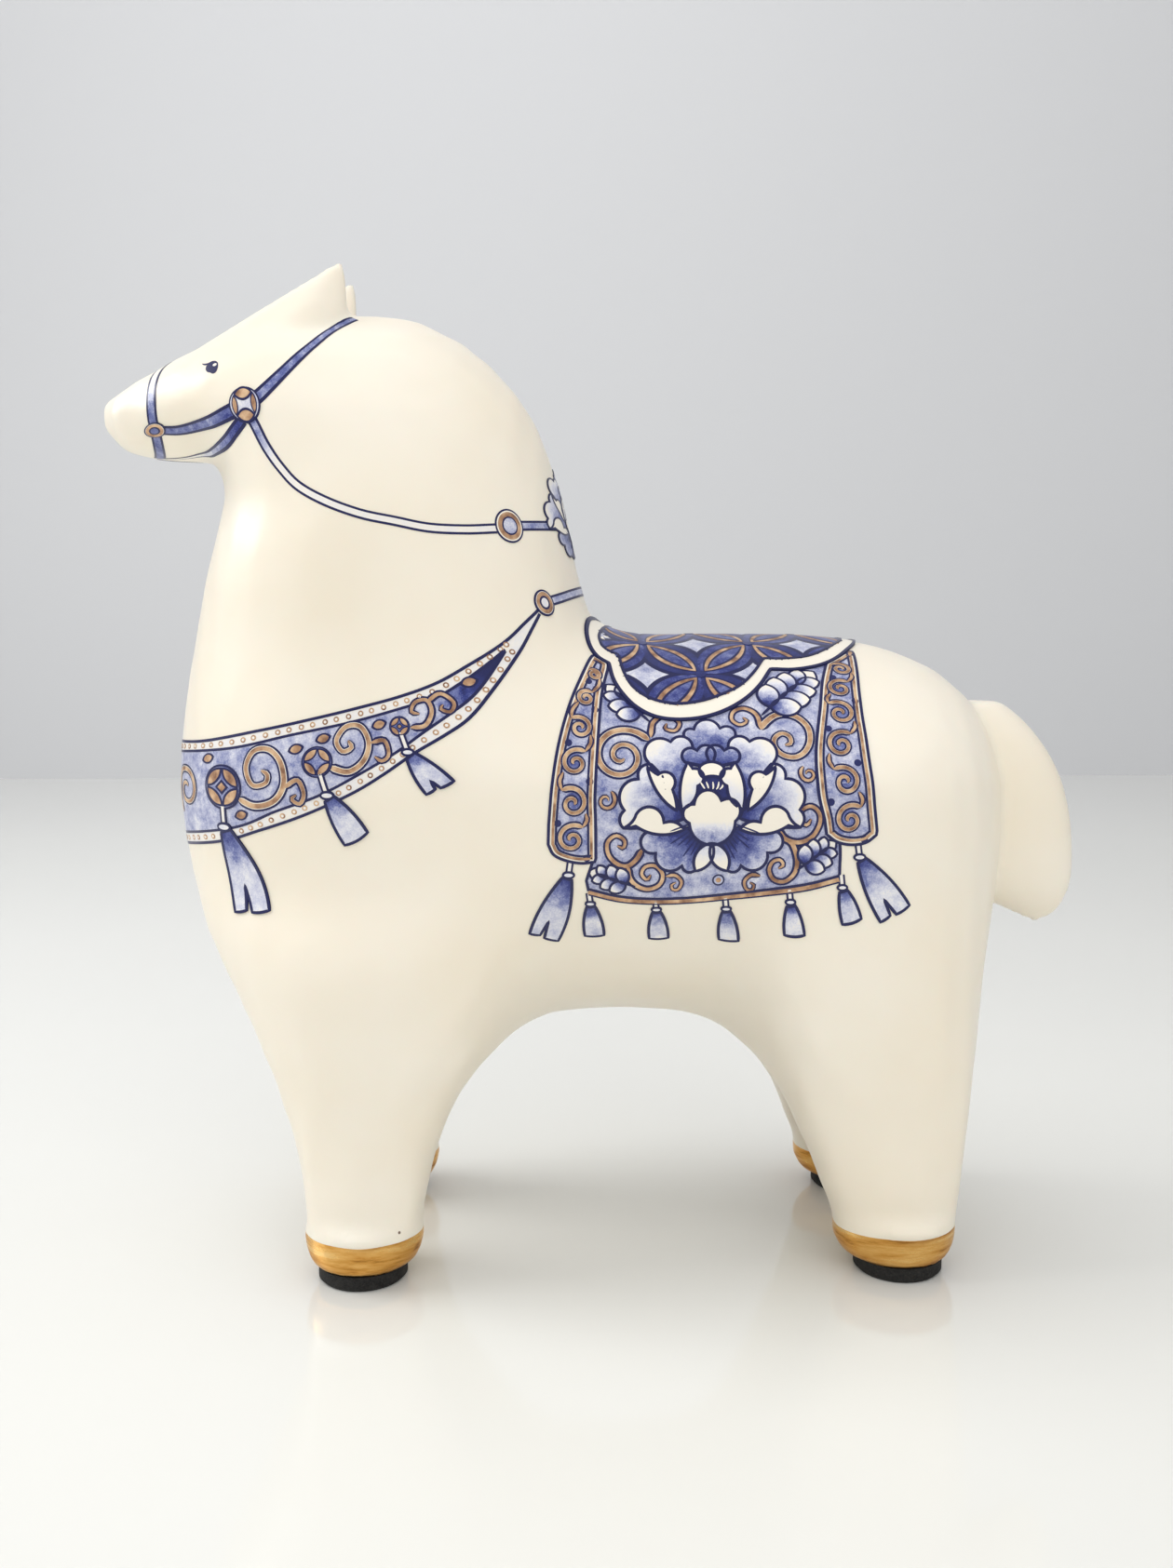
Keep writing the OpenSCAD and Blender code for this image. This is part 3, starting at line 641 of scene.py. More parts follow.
def inside(points, border):
    """Which points lie inside a closed outline."""
    x, y = points[:, 0][:, None], points[:, 1][:, None]
    a, b = border, np.roll(border, -1, 0)
    crosses = (a[:, 1] > y) != (b[:, 1] > y)
    rise = np.where(b[:, 1] == a[:, 1], 1e-9, b[:, 1] - a[:, 1])
    return (crosses & (x < a[:, 0] + (y - a[:, 1]) / rise * (b[:, 0] - a[:, 0]))).sum(1) % 2 == 1

print("curve helpers ready")

# %% A flat drawing
class Drawing:
    """Washes and lines in the flat. Each part has points, faces, a level, a wash and an ink."""

    def __init__(self):
        self.parts = []

    def keep(self, points, faces, level, wash, ink):
        depth = wash(points) if callable(wash) else np.full(len(points), float(wash))
        self.parts.append((points, faces, level, depth, ink))

    def fill(self, border, wash=0.0, level=0, ink=COBALT_INK, step=MESH_STEP):
        """A wash inside a closed outline, with points inside it so that it can bend."""
        low, high = border.min(0), border.max(0)
        rows = np.arange(low[1] + step / 2, high[1], step * 0.87)
        grid = [(x + (i % 2) * step / 2, y) for i, y in enumerate(rows)
                for x in np.arange(low[0] + step / 2, high[0], step)]
        grid = np.array(grid) if grid else np.empty((0, 2))
        if len(grid):
            grid = grid[inside(grid, border)]
        if len(grid):
            gap = np.linalg.norm(grid[:, None] - border[None], axis=2).min(1)
            grid = grid[gap > step * 0.4]
        everything = np.vstack([border, grid])
        ring = list(range(len(border)))
        made = delaunay_2d_cdt([Vector(p) for p in everything], [], [ring], 1, 1e-5)
        points = np.array([tuple(p) for p in made[0]])
        faces = [tuple(f) for f in made[2]]
        self.keep(points, faces, level, wash, ink)

    def line(self, path, width=PEN, level=1, wash=1.0, ink=COBALT_INK, closed=False, taper=True):
        """A pen line along a path; its ends run thin unless taper is off."""
        path = np.asarray(path, float)
        if closed:
            ahead, behind = np.roll(path, -1, 0), np.roll(path, 1, 0)
        else:
            ahead = np.vstack([path[1:], 2 * path[-1:] - path[-2:-1]])
            behind = np.vstack([2 * path[:1] - path[1:2], path[:-1]])
        way = ahead - behind
        way /= np.maximum(np.linalg.norm(way, axis=1), 1e-9)[:, None]
        side = np.stack([-way[:, 1], way[:, 0]], 1)
        half = np.full(len(path), width / 2) if np.isscalar(width) else np.asarray(width) / 2
        if taper and not closed:
            run = np.minimum(np.arange(len(path)), np.arange(len(path))[::-1])
            half = half * np.clip(0.35 + 0.4 * run, 0, 1)
        rows = 2 + int(half.max() * 2 / ROW_WIDTH)
        points = np.vstack([path + side * (half * share)[:, None] for share in np.linspace(-1, 1, rows)])
        n = len(path)
        last = n if closed else n - 1
        faces = [(r * n + i, r * n + (i + 1) % n, (r + 1) * n + (i + 1) % n, (r + 1) * n + i)
                 for r in range(rows - 1) for i in range(last)]
        self.keep(points, faces, level, wash, ink)

    def shape(self, border, wash=0.0, level=2, pen=PEN, step=MESH_STEP):
        """A wash with a pen line round it."""
        self.fill(border, wash, level, step=step)
        self.line(border, pen, level + 1, closed=True)

    def scroll(self, path, width=2.2, level=3, pen=0.5, thin_end=0.6):
        """A white band with a gold core and a pen line along both edges."""
        share = np.linspace(1, thin_end, len(path))
        self.line(path, width * share, level)
        self.line(path, (width - 2 * pen) * share, level + 1, wash=0.0)
        self.line(path, 0.46 * width * share, level + 2, ink=GOLD_INK)

    def clip(self, border):
        """Drops the faces that lie outside a closed outline."""
        kept = []
        for points, faces, level, wash, ink in self.parts:
            middles = np.array([points[list(f)].mean(0) for f in faces])
            good = inside(middles, border)
            faces = [f for f, g in zip(faces, good) if g]
            if faces:
                kept.append((points, faces, level, wash, ink))
        self.parts = kept

    def add(self, other, level=0, place=None):
        """Takes in another drawing's parts, moved by place."""
        for points, faces, height, wash, ink in other.parts:
            self.parts.append((place(points) if place else points, faces, height + level, wash, ink))

print("drawing class ready")

# %% [markdown]
# ## Wrapping
# A flat sheet only lies well on a round form if it is unrolled about the right line.
# The saddle cloth is unrolled about the horse's barrel, the collar and reins about the
# upright axis of its neck, and the bridle about the axis of its head. Each wrap turns
# flat millimetres into a ray that is cast from outside towards that axis.

# %% Wraps round the barrel, the neck and the head
RAY_START = {"barrel": 70 * MM, "neck": 70 * MM, "head": 25 * MM}
BARREL_Z, BARREL_R = 88.0, 38.0
NECK_X, NECK_R, NECK_TOP = -42.0, 33.0, 150.0
HEAD_AT, HEAD_R, HEAD_SLOPE = (-78.0, 171.0), 14.0, math.radians(14)


def barrel_wrap(flat):
    """(along the back, down the side from the top line) to ray middles and directions."""
    angle = flat[:, 1] / BARREL_R
    out = np.stack([np.zeros_like(angle), -np.sin(angle), np.cos(angle)], 1)
    at = np.stack([flat[:, 0], np.zeros_like(angle), np.full_like(angle, BARREL_Z)], 1)
    return at * MM, out


def neck_wrap(flat):
    """(round the neck from its left side, down from its crest) to ray middles and directions."""
    angle = flat[:, 0] / NECK_R
    out = np.stack([np.sin(angle), -np.cos(angle), np.zeros_like(angle)], 1)
    at = np.stack([np.full_like(angle, NECK_X), np.zeros_like(angle), NECK_TOP - flat[:, 1]], 1)
    return at * MM, out


def head_wrap(flat):
    """(along the head from its middle, down the side from the brow) to rays."""
    along = np.array([math.cos(HEAD_SLOPE), 0, math.sin(HEAD_SLOPE)])
    up = np.array([-math.sin(HEAD_SLOPE), 0, math.cos(HEAD_SLOPE)])
    angle = flat[:, 1] / HEAD_R
    out = np.sin(angle)[:, None] * np.array([0, -1, 0]) + np.cos(angle)[:, None] * up
    at = np.array([HEAD_AT[0], 0, HEAD_AT[1]]) + flat[:, :1] * along
    return at * MM, out


skin_face_points = [np.array(f) for f in skin_faces]


def land(flat, wrap, side):
    """Where flat points land on the skin, and the skin's smooth normals there."""
    middles, outward = wrap(flat)
    reach = RAY_START[wrap.__name__.split("_")[0]]
    flip = np.array([1, side, 1])
    middles, outward = middles * flip, outward * flip
    spots, normals = np.empty_like(middles), np.empty_like(middles)
    for i, (middle, out) in enumerate(zip(middles, outward)):
        hit, _, face, _ = skin_tree.ray_cast(Vector(middle + out * reach), Vector(-out))
        if hit is None:
            hit, _, face, _ = skin_tree.find_nearest(Vector(middle))
        corners = skin_face_points[face]
        near = 1 / (np.linalg.norm(skin_points[corners] - hit, axis=1) + 1e-6)
        normal = (skin_normals[corners] * near[:, None]).sum(0)
        spots[i], normals[i] = hit, normal / np.linalg.norm(normal)
    return spots, normals

print("wraps ready")

# %% From a drawing to a film
LIFT = 0.05 * MM      # the lowest film over the skin
LAYER = 0.022 * MM    # each level of the drawing above it
ROOT = 0.04 * MM      # how far a film reaches into the glaze


def film_mesh(bm, drawing, wrap, side, wash_layer, normals_out):
    """Adds one side's films to a bmesh: each part becomes a thin closed solid."""
    for points, faces, level, wash, ink in drawing.parts:
        used = sorted({i for f in faces for i in f})
        spots, normals = land(points[used], wrap, side)
        top = spots + normals * (LIFT + LAYER * level)
        bottom = spots - normals * ROOT
        place = {i: k for k, i in enumerate(used)}
        corners = top[[[place[i] for i in f[:3]] for f in faces]]
        facing = np.cross(corners[:, 1] - corners[:, 0], corners[:, 2] - corners[:, 0]).sum(0)
        if facing @ normals.sum(0) < 0:
            faces = [f[::-1] for f in faces]
        upper, lower = {}, {}
        for k, i in enumerate(used):
            upper[i] = bm.verts.new(top[k])
            lower[i] = bm.verts.new(bottom[k])
            upper[i][wash_layer] = lower[i][wash_layer] = wash[i]
            normals_out += [normals[k], normals[k]]
        edges = {}
        for face in faces:
            up = [upper[i] for i in face]
            down = [lower[i] for i in face]
            made = [bm.faces.new(up), bm.faces.new(down[::-1])]
            for a, b in zip(face, face[1:] + face[:1]):
                edges[(a, b)] = edges.get((a, b), 0) + 1
            for new in made:
                new.material_index = ink
        for a, b in edges:
            if (b, a) not in edges:
                wall = bm.faces.new([upper[b], upper[a], lower[a], lower[b]])
                wall.material_index = ink


def cobalt_material():
    """Cobalt blue washed over the glaze: wash 0 leaves it white, and 1 is a full pen line."""
    made, tree, shader = new_material("cobalt_transfer", tint(60, 75, 150), 0.32, Coat_Weight=0.12,
                                      Coat_Roughness=0.16)
    wash = add(tree, "ShaderNodeAttribute", attribute_name="wash").outputs["Fac"]
    grain = place_effect(tree, fine_grain, Scale=3400.0, Coarse_Share=0.45)
    clouds = place_effect(tree, mottle, Scale=320.0, Contrast=1.4)
    middle = maths(tree, "MULTIPLY", maths(tree, "MULTIPLY", wash, maths(tree, "SUBTRACT", 1.0, wash)), 4.0)
    uneven = maths(tree, "SUBTRACT", maths(tree, "ADD", grain, maths(tree, "MULTIPLY", clouds, 0.55)), 0.78)
    depth = maths(tree, "ADD", wash, maths(tree, "MULTIPLY", maths(tree, "MULTIPLY", uneven, middle), 0.85),
                  clamp=True)
    colour = ramp(tree, depth, [
        (0.0, CREAM), (0.14, tint(224, 224, 230)), (0.32, tint(184, 187, 210)),
        (0.55, tint(108, 117, 168)), (0.78, tint(40, 51, 124)), (1.0, tint(13, 18, 74))])
    tree.links.new(colour, shader.inputs["Base Color"])
    bump(tree, shader, grain, 0.06, 0.0002)
    return made


def gold_line_material():
    """Matt bronze-gold enamel, drawn with a fine brush."""
    made, tree, shader = new_material("gold_line", tint(190, 150, 116), 0.4, 0.3)
    tone = place_effect(tree, mottle, Scale=420.0, Contrast=2.2)
    colour = ramp(tree, tone, [
        (0.15, tint(140, 102, 78)), (0.5, tint(190, 150, 116)), (0.85, tint(222, 188, 150))])
    tree.links.new(colour, shader.inputs["Base Color"])
    bump(tree, shader, place_effect(tree, fine_grain, Scale=2600.0, Coarse_Share=0.3), 0.2, 0.0002)
    return made


COBALT, GOLD = cobalt_material(), gold_line_material()


def make_film(name, drawing, wrap, replaced, sides=(1,)):
    """Wraps a drawing onto the horse as one piece: side 1 is its left, -1 its right."""
    bm = bmesh.new()
    wash_layer = bm.verts.layers.float.new("wash")
    normals = []
    for side in sides:
        film_mesh(bm, drawing, wrap, side, wash_layer, normals)
    mesh = bpy.data.meshes.new(name)
    bm.to_mesh(mesh)
    for face in mesh.polygons:
        face.use_smooth = True
    mesh.normals_split_custom_set_from_vertices(normals)
    mesh.materials.append(COBALT)
    mesh.materials.append(GOLD)
    piece = bpy.data.objects.new(name, mesh)
    scene.collection.objects.link(piece)
    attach(piece, "root")
    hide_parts(*replaced)
    print(name, len(mesh.polygons), "faces")
    return piece
# %% [markdown]
# ## The peony
# A peony fills the middle of each saddle cloth, and a smaller one sits on the crest of
# the neck. Each petal is an outline of a few corners joined by round arcs, which is how
# the scalloped rims are drawn by brush. Petals are dark where they leave the flower's
# heart and white at the rim. The right half mirrors the left.

# %% Petals
HEART = np.array([0.0, 0.0])


def mirrored(corners):
    """The same closed outline on the other side of the flower, still running clockwise."""
    flipped = [(-x, y) for x, y, _ in corners][::-1]
    bulges = [b for _, _, b in corners][::-1]
    bulges = bulges[1:] + bulges[:1]
    return [(x, y, b) for (x, y), b in zip(flipped, bulges)]


def from_heart(near, far, dark=0.98, pale=0.03):
    """A wash that is dark up to near millimetres from the flower's heart and pale beyond far."""
    def wash(points):
        reach = np.linalg.norm(points - HEART, axis=1)
        share = np.clip((reach - near) / (far - near), 0, 1)
        return dark + (pale - dark) * share
    return wash


OUTER_PETALS = [
    [(-5, 0.5, 0.05), (-16.2, 2.2, 0.25), (-16, -1, 0.36), (-13.4, -6.4, 0.3), (-11, -9.2, 0.05)],
    [(-6, -1, 0.0), (-12, -10.3, 0.4), (-7.3, -13.6, 0.42), (-3.3, -12.4, 0.0)],
    [(-1, 3, 0.05), (-2.9, 10.1, 0.35), (-5.4, 9.2, 0.42), (-10.2, 6.8, 0.42), (-12.3, 3.2, 0.1), (-5, 2.2, 0.0)],
]
TURNED_PETALS = [
    [(-5.2, 2.5, 0.14), (-14, 1.8, 0.05), (-16.3, 2.2, -0.12), (-13.9, -0.3, 0.4), (-8.9, 1.3, 0.2)],
    [(-6.5, -0.9, 0.12), (-11.8, -8.8, -0.04), (-9.9, -7.2, 0.5), (-7.3, -4.6, 0.05)],
]
INNER_PETALS = [
    [(-5.6, -1.2, 0.1), (-4.4, -9.4, 0.1), (-3.5, -8.3, 0.5), (-2.7, -5.2, 0.18)],
]


def peony():
    flower = Drawing()
    top = [(-4.3, -14.2, 0.5), (-2.8, -16.2, 0.45), (2, -16.4, 0.5), (4.4, -14.2, 0.4), (3.2, -11.6, 0.0),
           (-3.2, -11.6, 0.3)]
    flower.shape(outline(*top), from_heart(10.5, 18, 0.95, 0.12), 2)
    for corners in OUTER_PETALS:
        for petal in (corners, mirrored(corners)):
            flower.shape(outline(*petal), from_heart(4.5, 16.5), 4)
    for turn in range(20, 161, 7):
        way = np.array([math.cos(math.radians(turn)), math.sin(math.radians(turn))])
        flower.line(spread([way * 4.6, way * (7.2 + turn % 3)]), 0.3, 6, wash=0.95)
    lobes = [(-4.8, -9.6, 0.55), (-2.5, -11.8, 0.55), (0.6, -10.4, 0.1), (-0.4, -8.6, 0.0)]
    for petal in (lobes, mirrored(lobes)):
        flower.shape(outline(*petal), from_heart(8.4, 13, 0.98, 0.4), 6)
    flower.fill(circle((0, -4.5), 4.4, 0.9), 0.92, 6)
    for corners in TURNED_PETALS:
        for petal in (corners, mirrored(corners)):
            flower.shape(outline(*petal), 0.0, 6)
    for corners in INNER_PETALS:
        for petal in (corners, mirrored(corners)):
            flower.shape(outline(*petal), from_heart(1.5, 7.5, 0.45, 0.0), 8)
    flower.shape(outline((-2.1, -8.8, 0.2), (2.1, -8.8, 0.2), (1.6, -6.6, -0.1), (-1.6, -6.6, 0.2)), 0.0, 8)
    for x in (-2.2, -1.1, 0.1, 1.2, 2.2):
        flower.line(curve((x, -5.9), (x * 0.8 + 0.1, -5.1), (x * 0.6, -4.6)), 0.4, 9, wash=0.0)
    heart = [(-3.3, -2, 0.45), (1.6, -2.6, 0.5), (4.2, 1, 0.5), (-4.2, 1.3, 0.48)]
    flower.shape(outline(*heart), lambda p: np.clip((p[:, 1] - 1) / 6, 0, 0.4), 9)
    sepal = lens((0, 5), (-2.9, 10.3), 0.26)
    for way in (1, -1):
        flower.shape(sepal * (way, 1), from_heart(5, 9, 0.35, 0.0), 8)
    return flower

flower = peony()
print("peony:", len(flower.parts), "parts")

# %% Leaves, rings, rosettes and tassels
def leaf(drawing, base, tip, width, pairs=3, level=2):
    """A leaf of paired leaflets on a straight vein."""
    base, tip = np.asarray(base, float), np.asarray(tip, float)
    way = tip - base
    side = np.array([-way[1], way[0]]) / np.linalg.norm(way)
    drawing.shape(lens(base + way * 0.5, tip, 0.32), 0.05, level, pen=0.45)
    for k in range(pairs, 0, -1):
        share = k / (pairs + 0.6)
        root = base + way * (share * 0.75)
        spread_out = width * math.sin(math.pi * min(0.28 + share * 0.6, 0.92))
        for turn in (-1, 1):
            end = root + way * 0.24 + side * turn * spread_out
            def wash(points, root=root, end=end):
                along = (points - root) @ (end - root) / ((end - root) @ (end - root))
                return np.clip(0.95 - 1.15 * along, 0.0, 1)
            drawing.shape(lens(root, end, 0.36), wash, level + 2 * (pairs - k) + 2, pen=0.45)
    drawing.line(spread([base, base + way * 0.7]), 0.45, level + 2 * pairs + 2)


def ring(drawing, centre, radius, stretch=1.0, core=0.3, level=8):
    """A gold ring with a blue stone."""
    drawing.fill(circle(centre, radius, stretch, 0.4), 1.0, level)
    drawing.fill(circle(centre, radius * 0.86, stretch, 0.4), 0.05, level + 1)
    drawing.fill(circle(centre, radius * 0.82, stretch, 0.4), 0.0, level + 2, ink=GOLD_INK)
    drawing.fill(circle(centre, radius * 0.52, stretch, 0.3), 1.0, level + 3)
    drawing.fill(circle(centre, radius * 0.36, stretch, 0.3), core, level + 4)


def rosette(drawing, centre, radius, stretch=1.0, centre_wash=0.65, stone=False, tilt=0, level=8):
    """Four gold petals round a washed centre, with a four-pointed star when stone is set."""
    centre = np.asarray(centre, float)
    drawing.fill(circle(centre, radius, stretch, 0.4), 1.0, level)
    drawing.fill(circle(centre, radius * 0.9, stretch, 0.4), centre_wash, level + 1)
    points = [centre + radius * 0.86 * np.array([math.cos(a), stretch * math.sin(a)])
              for a in np.radians(tilt + 90 * np.arange(4))]
    for a, b in zip(points, points[1:] + points[:1]):
        drawing.fill(lens(a, b, 0.24, 0.35), 1.0, level + 2, step=0.8)
        middle = (a + b) / 2
        drawing.fill(lens(middle + (a - middle) * 0.78, middle + (b - middle) * 0.78, 0.2, 0.35), 0,
                     level + 3, ink=GOLD_INK, step=0.8)
    if stone:
        for size, wash, ink in ((0.34, 1.0, COBALT_INK), (0.2, 0.0, GOLD_INK)):
            star = [centre + radius * size * np.array([math.cos(a), stretch * math.sin(a)])
                    for a in np.radians(90 * np.arange(4))]
            drawing.fill(spread(np.vstack([star, star[:1]]), 0.4)[:-1], wash, level + (3 if size > 0.3 else 4),
                         ink=ink)


def tassel(drawing, root, knot, end, top, foot, split=0.0, level=4):
    """A cord from root to a knot, and a skirt that widens from top to foot; split cuts the hem."""
    knot, end = np.asarray(knot, float), np.asarray(end, float)
    way = (end - knot) / np.linalg.norm(end - knot)
    side = np.array([-way[1], way[0]])
    length = np.linalg.norm(end - knot)

    def at(along, across):
        return knot + way * along + side * across
    drawing.line(spread([root, knot]), 1.3, level, taper=False)
    drawing.line(spread([root, knot]), 0.55, level + 1, wash=0.05, taper=False)
    if split:
        hem = [(*at(length, -foot), 0.06), (*at(length * 0.98, -foot * 0.05), 0.0),
               (*at(length * (1 - split), foot * 0.12), 0.0), (*at(length * 0.94, foot * 0.3), 0.06)]
    else:
        hem = [(*at(length * 0.95, -foot), 0.08)]
    corners = [(*at(length * 0.93, foot), 0.05), (*at(0.8, top), 0.0), (*at(0.8, -top), 0.05)] + hem
    border = outline(*[(float(x), float(y), float(b)) for x, y, b in corners])

    def wash(points):
        along = (points - knot) @ way / length
        return np.clip(0.9 - 1.3 * along, 0.22, 0.85)
    drawing.shape(border, wash, level + 2)
    drawing.fill(circle(knot, top * 1.35, 0.66, 0.35), 1.0, level + 5)
    drawing.fill(circle(knot, top * 1.35 - 0.42, 0.45, 0.3), 0.15, level + 6)


def strap(drawing, path, width=1.8, wash=0.35, level=2):
    """A flat strap: a wash between two pen lines."""
    drawing.line(path, width, level, wash=1.0, taper=False)
    drawing.line(path, width - 2 * 0.44, level + 1, wash=wash, taper=False)


def inset(border, distance):
    """A closed outline moved inwards, for the bands of a border."""
    ahead, behind = np.roll(border, -1, 0), np.roll(border, 1, 0)
    way = ahead - behind
    way /= np.maximum(np.linalg.norm(way, axis=1), 1e-9)[:, None]
    area = (border[:, 0] * ahead[:, 1] - ahead[:, 0] * border[:, 1]).sum()
    inward = np.stack([-way[:, 1], way[:, 0]], 1) * np.sign(area)
    return border + inward * distance

print("motifs ready")

# %% [markdown]
# ## The saddle cloth
# On each side a cloth hangs under the seat: a framed strip of scrolls in front, a wide
# panel with the peony, a second strip behind, and a row of tassels below. The scrolls
# are white bands with a gold core, edged with a pen line.

# %% Outlines of the seat and the cloth
SEAT_HALF = np.vstack([
    curve((-0.8, 0), (-1.7, 4), (-3.2, 9), (-3.8, 13.5), (-3.3, 17.5), (-1.8, 20.2), (0.3, 21.6)),
    curve((0.4, 21.8), (1.1, 26), (2.8, 29.8), (5.2, 32.8), (8.6, 34.9), (12.8, 35.6), (17.5, 35.1), (22, 33.4),
          (26, 30.6), (29, 27), (31.6, 22.4)),
    curve((32, 22.3), (36.6, 22.2), (41.7, 20.3), (46, 16.4), (50, 9.5), (51.6, 4), (52, 0))])
FIELD_HALF = np.vstack([
    curve((1.6, 0), (0.8, 4), (-0.6, 9), (-1.3, 13), (-0.6, 16.6), (2.2, 18.2)),
    curve((2.5, 19), (3.1, 23.5), (4.8, 27.8), (8, 30.7), (12.6, 31.9), (17, 31.4), (21, 29.9), (25.2, 27.2),
          (28.4, 23.2), (30.6, 18.8)),
    curve((31, 18.4), (35, 18.3), (39.8, 17), (44, 13.4), (47.6, 7.6), (49, 3), (49.4, 0))])


def both_halves(half):
    return np.vstack([half, half[-2:0:-1] * (1, -1)])

SEAT, SEAT_FIELD = both_halves(SEAT_HALF), both_halves(FIELD_HALF)
CLOTH_EDGE = np.vstack([
    curve((0.4, 22), (-1.3, 30.3), (-2.3, 41.2), (-2.9, 50.3), (-2.8, 60), (-4.4, 66.5)),
    curve((-4, 68.6), (2, 70.2), (9, 70.7), (16, 70.3), (23, 69.4), (30, 68.4), (36.5, 67.4), (42.2, 65.9)),
    curve((42.3, 65), (42, 59), (39.6, 55), (38, 49.7), (38.1, 42.1), (39.9, 32.6), (42.8, 20)),
    curve((42, 19.4), (34, 20.2), (31.3, 21), (27, 26.5), (22, 31), (16, 33.7), (10, 33.4), (5, 30.4), (2, 25))])
FLAP_FRONT = np.vstack([
    curve((-2, 20.3), (-2.9, 20.6), (-5.1, 26.7), (-7.5, 33.6), (-9.5, 41.3), (-10.7, 48.7), (-11.3, 55.5)),
    curve((-11.4, 59.4), (-10.4, 61.4), (-8.2, 62.5), (-5.4, 63), (-2.9, 62.7)),
    curve((-2.7, 62), (-2.8, 55), (-2.9, 50.3), (-2.3, 41.2), (-1.3, 30.3), (0.2, 22.5), (-0.6, 21))])
FLAP_REAR = np.vstack([
    curve((43, 19.6), (41.3, 25.5), (39.9, 32.6), (38.1, 42.1), (38, 49.7), (39.2, 55)),
    curve((39.6, 57.6), (41.5, 59), (44.2, 59.6), (46.9, 59.2), (48.8, 57.8)),
    curve((48.9, 57), (48.2, 50.5), (47.7, 41), (47.8, 30.4), (49.3, 15), (48.6, 13.6), (45.6, 17))])
print("outlines:", len(SEAT), len(CLOTH_EDGE), len(FLAP_FRONT), "points")

# %% Seat
COIN_PITCH, COIN_DROP = 21.0, 24.0


def seat_drawing():
    """A white-bordered seat filled with interlocked coins: gold-lined blue petals round grey stars."""
    coins = Drawing()
    coins.fill(SEAT_FIELD, 0.3, 0)
    for column in range(-1, 3):
        for row in range(-2, 3):
            centre = np.array([18 + COIN_PITCH * column, COIN_DROP * row / 1.0])
            for across, down in ((1, 1), (-1, 1), (1, -1), (-1, -1)):
                end = centre + (across * COIN_PITCH / 2, down * COIN_DROP / 2)
                way = end - centre
                shade = 0.88 if across == down else 0.76
                coins.fill(lens(centre, end, 0.35), 1.0, 1)
                coins.fill(lens(centre + way * 0.03, end - way * 0.03, 0.305), shade, 2)
                coins.fill(lens(centre + way * 0.06, end - way * 0.06, 0.215), 1.0, 3)
                coins.fill(lens(centre + way * 0.08, end - way * 0.08, 0.19), 0, 4, ink=GOLD_INK)
                coins.fill(lens(centre + way * 0.13, end - way * 0.13, 0.14), 1.0, 5)
                coins.fill(lens(centre + way * 0.17, end - way * 0.17, 0.11), 0.7, 6)
    for column in range(-1, 4):
        for row in (-1.5, -0.5, 0.5, 1.5):
            for centre in ((18 + COIN_PITCH * column, COIN_DROP * (row + 0.5)),
                           (7.5 + COIN_PITCH * column, COIN_DROP * row)):
                coins.fill(circle(centre, 1.0, 1.0, 0.5), 0.9, 7)
    coins.clip(SEAT_FIELD)
    seat = Drawing()
    seat.fill(SEAT, 0.0, 12, step=2.2)
    seat.add(coins, 13)
    seat.line(SEAT_FIELD, 0.55, 21, closed=True)
    seat.line(SEAT, 0.6, 21, closed=True)
    return seat

seat = seat_drawing()
make_film("cobalt_saddle_seat", seat, barrel_wrap, ["saddle_seat"])

# %% Flaps with running scrolls
def flap_drawing(border, heights):
    """A framed strip with a running stem that throws a curl to each side in turn."""
    flap = Drawing()
    flap.fill(border, 0.0, 5)
    flap.line(border, 0.55, 8, closed=True)
    flap.line(inset(border, 0.8), 0.5, 8, ink=GOLD_INK, closed=True)
    field = inset(border, 1.35)
    flap.fill(field, 0.4, 6)
    flap.line(field, 0.42, 8, closed=True)
    last_end, way = None, 1
    for height in heights:
        across = field[np.abs(field[:, 1] - height) < 1.8, 0]
        middle, radius = (across.min() + across.max()) / 2, (across.max() - across.min()) / 2
        radius = min(radius * 1.08, 3.0)
        path = spiral((middle, height), radius, 0.4, -90 - 40 * way, way * 520, step=0.35)
        flap.fill(circle((middle, height), radius * 0.62), 0.62, 7)
        flap.scroll(path, 1.5, 9, pen=0.36, thin_end=0.8)
        if last_end is not None:
            flap.scroll(curve(last_end, ((last_end[0] + path[0][0]) / 2 - way * 0.5,
                                         (last_end[1] + path[0][1]) / 2), path[0]), 1.2, 9, pen=0.32, thin_end=1)
        last_end = np.array([middle + way * radius * 0.8, height + radius * 0.6])
        flap.fill(circle((middle - way * radius * 0.9, height + radius + 0.6), 0.7), 0.95, 7)
        way = -way
    return flap

front_flap = flap_drawing(FLAP_FRONT, (25.5, 31.4, 37.8, 44.6, 51.8, 58.4))
rear_flap = flap_drawing(FLAP_REAR, (21.5, 27.6, 34, 41, 48.2, 55))
for side, sign in (("left", 1), ("right", -1)):
    for name, drawing in (("front", front_flap), ("rear", rear_flap)):
        make_film(f"cobalt_{side}_{name}_flap", drawing, barrel_wrap, [f"{side}_{name}_flap"],
                  sides=(sign,))

